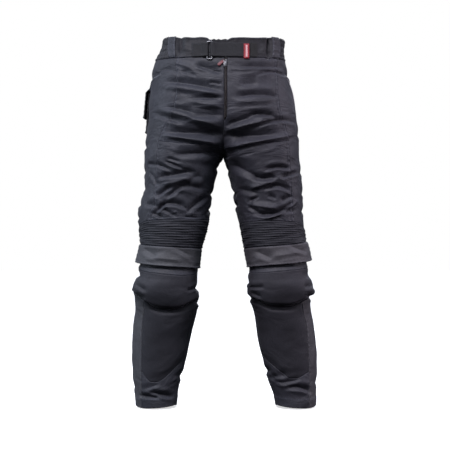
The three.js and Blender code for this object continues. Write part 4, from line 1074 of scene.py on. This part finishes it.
def band_back():
    """The elastic back: upright gathers, pinched where the rows of elastic run."""
    columns = GATHERS * POINTS_A_GATHER
    rows = BAND_BACK_ROWS
    t = np.linspace(0, 1, columns + 1)[:, None] * np.ones((1, rows + 1))
    r = np.linspace(0, 1, rows + 1)[None, :] * np.ones((columns + 1, 1))
    to_back = 1 - np.abs(2 * t - 1)
    ruffle = t * GATHERS + 0.3 * np.sin(t * 37) + 0.2 * np.sin(t * 91)
    crest = np.abs(np.sin(math.pi * ruffle)) ** 0.7 * (1 + 0.3 * np.sin(t * 53))
    side_top = np.where(t <= 0.5, SIDE_TOP["R"], SIDE_TOP["L"])
    plain_top = mix(side_top, BAND_TOP, smooth(0, 0.5, to_back))
    top = plain_top + 1.2 * np.sin(2 * math.pi * ruffle) + BACK_EDGE_RISE * smooth(0.2, 0.7, to_back)
    z = mix(top, BAND_BOTTOM + SEAM_GAP, r)
    pinch = np.ones_like(z)
    for row in ELASTIC_ROWS:
        pinch *= 1 - 0.65 * np.exp(-(((mix(BAND_TOP, BAND_BOTTOM, r) - row) / 2.2) ** 2))
    edges = smooth(0, 0.06, r) * smooth(0, 0.05, 1 - r)
    outer = np.empty(z.shape + (3,))
    inner = np.empty(z.shape + (3,))
    for half, side in (("R", t <= 0.5), ("L", t > 0.5)):
        first = share_at(half, z[side], BAND_FRONT_END[half]) + SIDE_PARTING
        share = mix(first, 2, to_back[side])
        bare = bare_skin(half, share, z[side])
        normal = outward(half, share, z[side])
        out = GATHER_DEPTH * crest[side] * pinch[side] * edges[side] + fold_height(half, share, z[side], bare)
        outer[side] = bare + normal * out[:, None]
        inner[side] = bare - normal * WALL
    keep_cloth("waistband_back", wall_object("waistband_back_cloth", outer, inner, "band_cloth"), "gathered",
               ["seat_R", "seat_L", "waistband_front_R", "waistband_front_L"])


LOOPS = {"R": (134, 154), "L": (136, 156)}
LOOP_TOP = {"R": 35, "L": 34}
LOOP_THICK = 1.5
LOOP_BULGE = 4.5
BACK_LOOP_SHARES = (1.58, 1.68)
# The back loops clear the crests of the gathers
BACK_LOOP_LIFT = 2.1


def belt_loop(name, half, start, stop, lift):
    """A strip sewn down at both ends that stands off the band between them."""
    panel(name, half, "shell_cloth", start, stop, level(LOOP_TOP[half]), level(BAND_BOTTOM + 1), step=1.6,
          thick=LOOP_THICK, waves=0, folds=0, welts={"start": SINGLE, "stop": SINGLE}, free=True,
          out=lambda c, r: lift + LOOP_THICK + LOOP_BULGE * np.sin(math.pi * np.clip(r, 0, 1)) ** 0.7,
          rests_on=["waistband_back" if "back" in name else f"waistband_front_{half}"])


for half in HALVES:
    band_front(half)
    near, far = LOOPS[half]
    belt_loop("belt_loop_front", half, distance_share(half, near), distance_share(half, far), LAYER_GAP)
    belt_loop("belt_loop_back", half, at(BACK_LOOP_SHARES[0]), at(BACK_LOOP_SHARES[1]),
              LAYER_GAP + BACK_LOOP_LIFT)
band_back()


# The waist adjuster: webbing folded round the two bars of a wire ring

STRAP_TOP = 12.5
STRAP_BOTTOM = -27.5
STRAP_THICK = 1.6
RING = {"x": -39, "z": -10, "bar_to_bar": 13, "height": 50, "wire": 2}
RING_OUT = LAYER_GAP + STRAP_THICK + RING["wire"] + 0.8
RING_SIDES = 14
TAB_END = -88
STRAP_UNDER_END = 45
STRAP_END = 71
TAB_STITCHES = {"left": -85, "right": -62, "top": 8.5, "bottom": -24.5}
TAG = {"from": 56, "middle": 63, "to": 71, "top": 9.5, "bottom": -33, "thick": 1.2}
STRIPE = {"x": (61.2, 63.7, 66.2), "inset": 4, "proud": 0.25, "thick": 0.4}
HOOK_TAPE = {"from": 74.5, "middle": 84, "to": 94, "top": 13, "bottom": -27.4, "thick": 2.2}
HOOK_SPACING = 3
HOOK_HEIGHT = 0.35
WEBBING_RUBBED = 0.3


def on_band(x, z, out):
    """Points on the front of the band: x across, z up, out from the cloth."""
    x, z, out = np.broadcast_arrays(np.asarray(x, float), np.asarray(z, float), np.asarray(out, float))
    points = np.empty(x.shape + (3,))
    for half, side in (("R", x < 0), ("L", x >= 0)):
        if not side.any():
            continue
        share = share_at(half, z[side], np.abs(x[side]))
        points[side] = bare_skin(half, share, z[side]) + outward(half, share, z[side]) * out[side][:, None]
    return points


def finer(path, step=1.5):
    """A path of x and out, rounded and with points every step millimetres."""
    path = np.array(path, float)
    for _ in range(2):
        cut = np.empty((len(path) * 2 - 2, 2))
        cut[0::2] = mix(path[:-1], path[1:], 0.25)
        cut[1::2] = mix(path[:-1], path[1:], 0.75)
        path = np.concatenate([path[:1], cut, path[-1:]])
    length = measured(path)
    return along_line(path, length, np.linspace(0, length[-1], int(length[-1] / step) + 1))


def webbing(name, path, thick, top, bottom, slot, held="laid", relief=None, rests_on=(), rows=20):
    """A tape along a path on the band, thinner at its two woven edges."""
    path = finer(path)
    run = np.gradient(path, axis=0)
    run /= np.linalg.norm(run, axis=1, keepdims=True)
    side = np.stack([-run[:, 1], run[:, 0]], -1) * thick / 2
    r = np.linspace(0, 1, rows + 1)[None, :]
    z = mix(top, bottom, r) * np.ones((len(path), 1))
    thin = 1 - 0.5 * np.exp(-((np.minimum(r, 1 - r) * (top - bottom) / 1.2) ** 2))
    extra = relief(path[:, :1] + 0 * r, z) if relief else 0
    outer = on_band(path[:, :1] + side[:, :1] * thin, z, path[:, 1:] + side[:, 1:] * thin + extra)
    inner = on_band(path[:, :1] - side[:, :1] * thin, z, path[:, 1:] - side[:, 1:] * thin)
    shell = wall_object(f"{name}_cloth", outer, inner, slot, np.full_like(z, WEBBING_RUBBED))
    keep_cloth(name, shell, held, rests_on)


def folded_path(under_end, bar_x, over_end, way):
    """Webbing that lies on the band, turns round a bar and comes back on top of itself."""
    under = LAYER_GAP + STRAP_THICK / 2
    over = under + STRAP_THICK + LAYER_GAP
    radius = RING_OUT - under
    turn = [(bar_x - way * radius * math.cos(a), RING_OUT + radius * math.sin(a))
            for a in np.radians(np.arange(-90, 91, 30))]
    there = [(mix(under_end, bar_x + way * 2, t), under) for t in (0, 0.25, 0.5, 0.75)]
    back = [(mix(bar_x + way * 14, over_end, t), over) for t in (0.2, 0.4, 0.6, 0.8, 1)]
    return there + turn + [(bar_x + way * 6, RING_OUT + radius * 0.8), (bar_x + way * 14, over + 0.5)] + back


def ring_path():
    """Centre line of the ring, a rounded rectangle, with the way out from its middle."""
    corner = 3
    places = []
    for quarter, (sx, sz) in enumerate([(1, 1), (-1, 1), (-1, -1), (1, -1)]):
        for angle in np.radians(90 * quarter + np.linspace(0, 90, 7)):
            places.append((RING["x"] + sx * (RING["bar_to_bar"] / 2 - corner) + corner * math.cos(angle),
                           RING["z"] + sz * (RING["height"] / 2 - corner) + corner * math.sin(angle), angle))
    return places


def adjuster_ring():
    """The wire ring, round in section."""
    turn = np.linspace(0, 2 * math.pi, RING_SIDES, endpoint=False)
    rings = []
    for x, z, angle in ring_path():
        away = RING["wire"] * np.cos(turn)
        rings.append(on_band(x + away * math.cos(angle), z + away * math.sin(angle),
                             RING_OUT + RING["wire"] * np.sin(turn)))
    count = len(rings)
    i, k = np.meshgrid(np.arange(count), np.arange(RING_SIDES), indexing="ij")
    after_i = (i + 1) % count
    after_k = (k + 1) % RING_SIDES
    corners = [i * RING_SIDES + k, i * RING_SIDES + after_k, after_i * RING_SIDES + after_k,
               after_i * RING_SIDES + k]
    made = make_object("adjuster_ring_wire", np.array(rings), np.stack(corners, -1).reshape(-1, 4), "steel")
    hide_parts("adjuster_ring")


def stitched_lines(name, corners):
    """Rows of stitches on the band through corners, each given as x, z and out."""
    lines = []
    for a, b in zip(corners[:-1], corners[1:]):
        t = np.linspace(0, 1, max(2, int(math.dist(a, b) / 2)))[:, None]
        path = mix(np.array(a, float), np.array(b, float), t)
        line = on_band(path[:, 0], path[:, 1], path[:, 2])
        lines.append((line, line - on_band(path[:, 0], path[:, 1], path[:, 2] - 1)))
    return sew(name, lines)


def hook_bumps(x, z):
    """Stiff nylon hooks in rows both ways."""
    across = np.sin(x * 2 * math.pi / HOOK_SPACING)
    return HOOK_HEIGHT * across * np.sin(z * 2 * math.pi / HOOK_SPACING)


def tab_stitches(out):
    """The box of stitches that holds the ring tab to the band."""
    box = TAB_STITCHES
    corners = [(box["left"], box["top"]), (box["right"], box["top"]), (box["right"], box["bottom"]),
               (box["left"], box["bottom"]), (box["left"], box["top"])]
    return stitched_lines("ring_tab_stitches", [(x, z, out) for x, z in corners])


def waist_adjuster():
    """The tab and its ring, the strap folded through it, and the tag and hook tape at the strap's end."""
    left_bar = RING["x"] - RING["bar_to_bar"] / 2
    right_bar = RING["x"] + RING["bar_to_bar"] / 2
    webbing("ring_tab", folded_path(TAB_END, left_bar, TAB_END, -1), STRAP_THICK, STRAP_TOP - 1, STRAP_BOTTOM,
            "webbing", held="folded", rests_on=["waistband_front_R", "adjuster_ring"])
    webbing("strap", folded_path(STRAP_UNDER_END, right_bar, STRAP_END, 1), STRAP_THICK, STRAP_TOP,
            STRAP_BOTTOM, "webbing", held="folded", rests_on=["waistband_front_L", "adjuster_ring"])
    adjuster_ring()
    CLOTHS["ring_tab"]["with"].append(tab_stitches(LAYER_GAP * 2 + STRAP_THICK * 2))
    tag_out = LAYER_GAP * 3 + STRAP_THICK * 2 + TAG["thick"] / 2
    webbing("red_tag", [(TAG[place], tag_out) for place in ("from", "middle", "to")], TAG["thick"], TAG["top"],
            TAG["bottom"], "red_woven_tape", rests_on=["strap"])
    stripe_out = tag_out + TAG["thick"] / 2 + STRIPE["proud"]
    pale_stripe([(x, stripe_out) for x in STRIPE["x"]])
    hook_out = LAYER_GAP + HOOK_TAPE["thick"] / 2
    webbing("hook_tape", [(HOOK_TAPE[place], hook_out) for place in ("from", "middle", "to")],
            HOOK_TAPE["thick"], HOOK_TAPE["top"], HOOK_TAPE["bottom"], "hook_tape", relief=hook_bumps,
            rests_on=["waistband_front_L"], rows=34)


def pale_stripe(path):
    """The plain stripe woven into the red tag, a little proud of it."""
    path = finer(path, 1)
    z = np.linspace(TAG["top"] - STRIPE["inset"], TAG["bottom"] + STRIPE["inset"], 20)
    z = z[None, :] * np.ones((len(path), 1))
    outer = on_band(path[:, :1] + 0 * z, z, path[:, 1:] + 0 * z)
    inner = on_band(path[:, :1] + 0 * z, z, path[:, 1:] + 0 * z - STRIPE["thick"])
    made, _, _ = wall_object("red_tag_pale_stripe", outer, inner, "pale_stripe")
    CLOTHS["red_tag"]["with"].append(made)


waist_adjuster()


# The fly: zip tape and coil, slider, and the pull on its wire bridge

SLIDER_BOTTOM = -56
FLY_BOTTOM = ZIP_BOTTOM + 0.5
COIL_PITCH = 2.6
COIL_END = ZIP_BOTTOM + 6
# Root and crown of one turn of the coil: out, half its width, half its height
COIL_TURN = ((-0.6, 1.7, 0.9), (0.5, 1.3, 0.6))


def fly_zip():
    """The zip's tape, sunk between the fly's two edges, and its coil."""
    panel("fly_zip", "L", "zip_tape", lambda z: share_at("L", z, np.maximum(0, -fly_opening("R", z))),
          lambda z: share_at("L", z, fly_opening("L", z)), level(BAND_BOTTOM), level(FLY_BOTTOM), step=1.2,
          row_step=3, thick=1.4, out=lambda c, r: -0.5 + 0 * c, waves=0, free=True,
          rests_on=["hip_front_L", "hip_front_R"])
    CLOTHS["fly_zip_L"]["with"].append(zip_coil())


def zip_coil():
    """Two rows of coil that grip each other down the middle of the tape."""
    z = np.arange(SLIDER_BOTTOM, COIL_END, -COIL_PITCH)
    across = np.array([1.0, 0, 0])
    up = np.array([0, 0, 1.0])
    points = []
    for side in (-1, 1):
        height = z + side * COIL_PITCH / 4
        middle = (fly_opening("L", height) - fly_opening("R", height)) / 2 * 0.98 + side * 1.1
        share = share_at("L", height, middle)
        centre = bare_skin("L", share, height)
        lift = outward("L", share, height)
        centre = centre + lift * (fold_height("L", share, height, centre) + 0.1)[:, None]
        corners = [centre + across * x + up * h + lift * out
                   for out, wide, tall in COIL_TURN
                   for x, h in ((-wide, -tall), (wide, -tall), (wide, tall), (-wide, tall))]
        points.append(np.stack(corners, 1))
    points = np.concatenate(points)
    shape = np.array([[3, 2, 1, 0], [4, 5, 6, 7], [0, 1, 5, 4], [1, 2, 6, 5], [2, 3, 7, 6], [3, 0, 4, 7]])
    faces = (np.arange(len(points))[:, None, None] * 8 + shape[None]).reshape(-1, 4)
    return make_object("fly_zip_coil", points, faces, "zip_coil")


SHARP_EDGE = math.radians(40)


def bevelled(node, slot, body, width):
    """The node's own form with its hard edges rounded, as the casting or moulding has them."""
    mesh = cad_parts[node].data.copy()
    made = bpy.data.objects.new(f"{node}_finished", mesh)
    bpy.context.scene.collection.objects.link(made)
    shape = bmesh.new()
    shape.from_mesh(mesh)
    bmesh.ops.remove_doubles(shape, verts=shape.verts, dist=1e-6)
    sharp = [e for e in shape.edges if len(e.link_faces) == 2 and e.calc_face_angle(0) > SHARP_EDGE]
    bmesh.ops.bevel(shape, geom=sharp, offset=width * MM, segments=3, affect="EDGES", profile=0.5,
                    clamp_overlap=True)
    shape.to_mesh(mesh)
    shape.free()
    mesh.materials.clear()
    mesh.materials.append(MATERIALS[slot])
    mesh.shade_smooth()
    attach(made, body)
    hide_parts(node)


fly_zip()
bevelled("fly_slider", "steel", BODY, 0.5)
bevelled("fly_pull", "moulded_pull", PULL_BODY, 0.35)
bridge_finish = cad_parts["fly_bridge"].data.materials
bridge_finish.clear()
bridge_finish.append(MATERIALS["steel"])


# Hip pockets: piping on the slanted openings, and the patch pocket with its flap

# A pocket opening starts at a height and a distance from the centre line, and ends at a height and a share
OPENING_START = {"R": (-70, 178), "L": (-84, 180)}
OPENING_END = {"R": (-113, 0.98), "L": (-178, 1.07)}
PIPING_WIDE = 5
POCKET_SHARES = (1.0, 1.46)
POCKET_LEVELS = (-116, -234)
POCKET_FLAP_SHARES = (0.985, 1.475)
POCKET_FLAP_LEVELS = (-103, -192)


def pocket_piping(half):
    """Reflective piping down a slanted pocket opening, a half round that stands off the cloth."""
    from_z, distance = OPENING_START[half]
    to_z, to_share = OPENING_END[half]
    first = float(share_at(half, from_z, distance))

    def line(z):
        return mix(first, to_share, np.clip((from_z - z) / (from_z - to_z), 0, 1) ** 0.8)

    def other_side(z):
        per_share = np.linalg.norm(bare_skin(half, 0.98, z) - bare_skin(half, 0.94, z), axis=-1) / 0.04
        return line(z) + PIPING_WIDE / per_share

    panel("pocket_piping", half, "reflective_piping", line, other_side, level(from_z), level(to_z),
          step=0.8, row_step=3, thick=1.2, waves=0, out=lambda c, r: 1.2 + 1.5 * np.sin(math.pi * c) ** 0.7,
          rests_on=[f"side_panel_{half}"])


def hip_pocket():
    """The patch pocket, full in its middle, and the flap that hangs over it."""
    def rounded(c, r):
        return (np.sin(math.pi * np.clip(c, 0, 1)) * np.sin(math.pi * np.clip(0.12 + 0.76 * r, 0, 1))) ** 0.6

    sewn = {"start": SINGLE, "stop": SINGLE, "bottom": SINGLE}
    # The pocket and its flap are drawn near black: painted shade for cloth that faces sideways and back.
    panel("hip_pocket", "R", "pocket_cloth", at(POCKET_SHARES[0]), at(POCKET_SHARES[1]),
          level(POCKET_LEVELS[0]), level(POCKET_LEVELS[1]), out=lambda c, r: 4 + 5.2 * rounded(c, r),
          inside=lambda c, r: 1.3 + 0 * c, waves=0.8, welts=sewn, rests_on=["side_panel_R", "seat_R"])
    panel("hip_pocket_flap", "R", "pocket_cloth", at(POCKET_FLAP_SHARES[0]), at(POCKET_FLAP_SHARES[1]),
          level(POCKET_FLAP_LEVELS[0]), level(POCKET_FLAP_LEVELS[1]),
          out=lambda c, r: 2.5 + 10 * smooth(0, 0.17, r) + 1.5 * r, thick=1.6, waves=0.8, welts=sewn,
          rests_on=["side_panel_R", "hip_pocket_R"])


for half in HALVES:
    pocket_piping(half)
hip_pocket()


# The size each cloth was cut to, worked out and then not used

# Tape and piping narrower than this are passed over
NARROWEST_SHEET = 0.01
# The cut is a little larger than the mean width and length of the grid, whose lines differ
CUT_MARGIN = 1.01


def declare_cloths():
    for cloth in CLOTHS.values():
        wide, long = (round(side * CUT_MARGIN, 4) for side in cloth["flat"])
        if wide < NARROWEST_SHEET:
            continue


declare_cloths()


# Camera, floor and light

SENSOR_WIDE = 36
CAMERA_AWAY = 4.0
FRONT_PLANE = -0.12
VIEW_WIDE = 1.26
VIEW_MIDDLE = (0.0042, -0.498)
FLOOR_Z = -1.023
FLOOR_REACH = 12.0
# Soft lights: name, place, aim, size, power, tint
LIGHTS = [
    ("key", (-0.7, -2.2, 1.9), (0, 0, -1.1), (0.9, 0.6), 90, "#f6f2fb"),
    ("left_strip", (-2.3, -0.3, 0.2), (0, 0, -0.5), (0.5, 2.2), 22, "#e8f2ff"),
    ("back_fill", (0.5, 2.8, 1.7), (0, 0, -0.5), (1.2, 0.9), 50, "#f4f6ff"),
    ("front_fill", (0.4, -3.0, -1.3), (0, 0, -0.95), (1.6, 0.6), 38, "#fff3f6"),
    ("right_strip", (2.3, -0.3, 0.2), (0, 0, -0.5), (0.5, 2.2), 22, "#fbeefc"),
]


def set_camera():
    data = bpy.data.cameras.new("camera")
    data.sensor_width = SENSOR_WIDE
    data.lens = SENSOR_WIDE * CAMERA_AWAY / VIEW_WIDE
    camera = bpy.data.objects.new("camera", data)
    camera.location = (VIEW_MIDDLE[0], FRONT_PLANE - CAMERA_AWAY, VIEW_MIDDLE[1])
    camera.rotation_euler = (math.pi / 2, 0, 0)
    bpy.context.scene.collection.objects.link(camera)
    bpy.context.scene.camera = camera


def soft_light(name, place, aim, size, power, tint):
    data = bpy.data.lights.new(name, "AREA")
    data.color = colour(tint)[:3]
    data.shape = "RECTANGLE"
    data.size, data.size_y = size
    data.energy = power
    light = bpy.data.objects.new(name, data)
    light.location = place
    light.rotation_euler = (Vector(aim) - Vector(place)).to_track_quat("-Z", "Y").to_euler()
    bpy.context.scene.collection.objects.link(light)


def set_floor():
    """White acrylic, lit a little from below as in a product studio."""
    corners = [(x * FLOOR_REACH, y * FLOOR_REACH, FLOOR_Z) for x, y in ((-1, -1), (1, -1), (1, 1), (-1, 1))]
    mesh = bpy.data.meshes.new("studio_floor")
    mesh.from_pydata(corners, [], [(0, 1, 2, 3)])
    floor = bpy.data.objects.new("studio_floor", mesh)
    bpy.context.scene.collection.objects.link(floor)
    material, _, _ = new_material("white_acrylic_floor", Base_Color=colour("#f4f4f3"), Roughness=0.9,
                                  Emission_Color=(1, 1, 1, 1), Emission_Strength=0.62)
    mesh.materials.append(material)
    floor.visible_diffuse = False
    floor.visible_glossy = False


def white_studio():
    """A white backdrop for the camera, and for the cloth a soft dome, bright overhead and dark below."""
    world = bpy.data.worlds.new("white_studio")
    bpy.context.scene.world = world
    world.use_nodes = True
    tree = world.node_tree
    tree.nodes.clear()
    way = add_node(tree, "ShaderNodeTexCoord").outputs["Generated"]
    height = add_node(tree, "ShaderNodeSeparateXYZ", {"Vector": way}).outputs["Z"]
    dome = add_node(tree, "ShaderNodeMapRange", {"Value": height},
                    {"From Min": -0.05, "From Max": 0.9, "To Min": 0.02, "To Max": 0.9},
                    interpolation_type="SMOOTHSTEP").outputs["Result"]
    seen = add_node(tree, "ShaderNodeBackground", values={"Color": (1, 1, 1, 1), "Strength": 1.0})
    felt = add_node(tree, "ShaderNodeBackground", {"Strength": dome}, {"Color": colour("#eaf0ff")})
    ray = add_node(tree, "ShaderNodeLightPath").outputs["Is Camera Ray"]
    both = add_node(tree, "ShaderNodeMixShader", {0: ray, 1: felt.outputs[0], 2: seen.outputs[0]})
    add_node(tree, "ShaderNodeOutputWorld", {"Surface": both.outputs[0]})


set_camera()
set_floor()
white_studio()
for light in LIGHTS:
    soft_light(*light)
bpy.context.scene.view_settings.view_transform = "Standard"
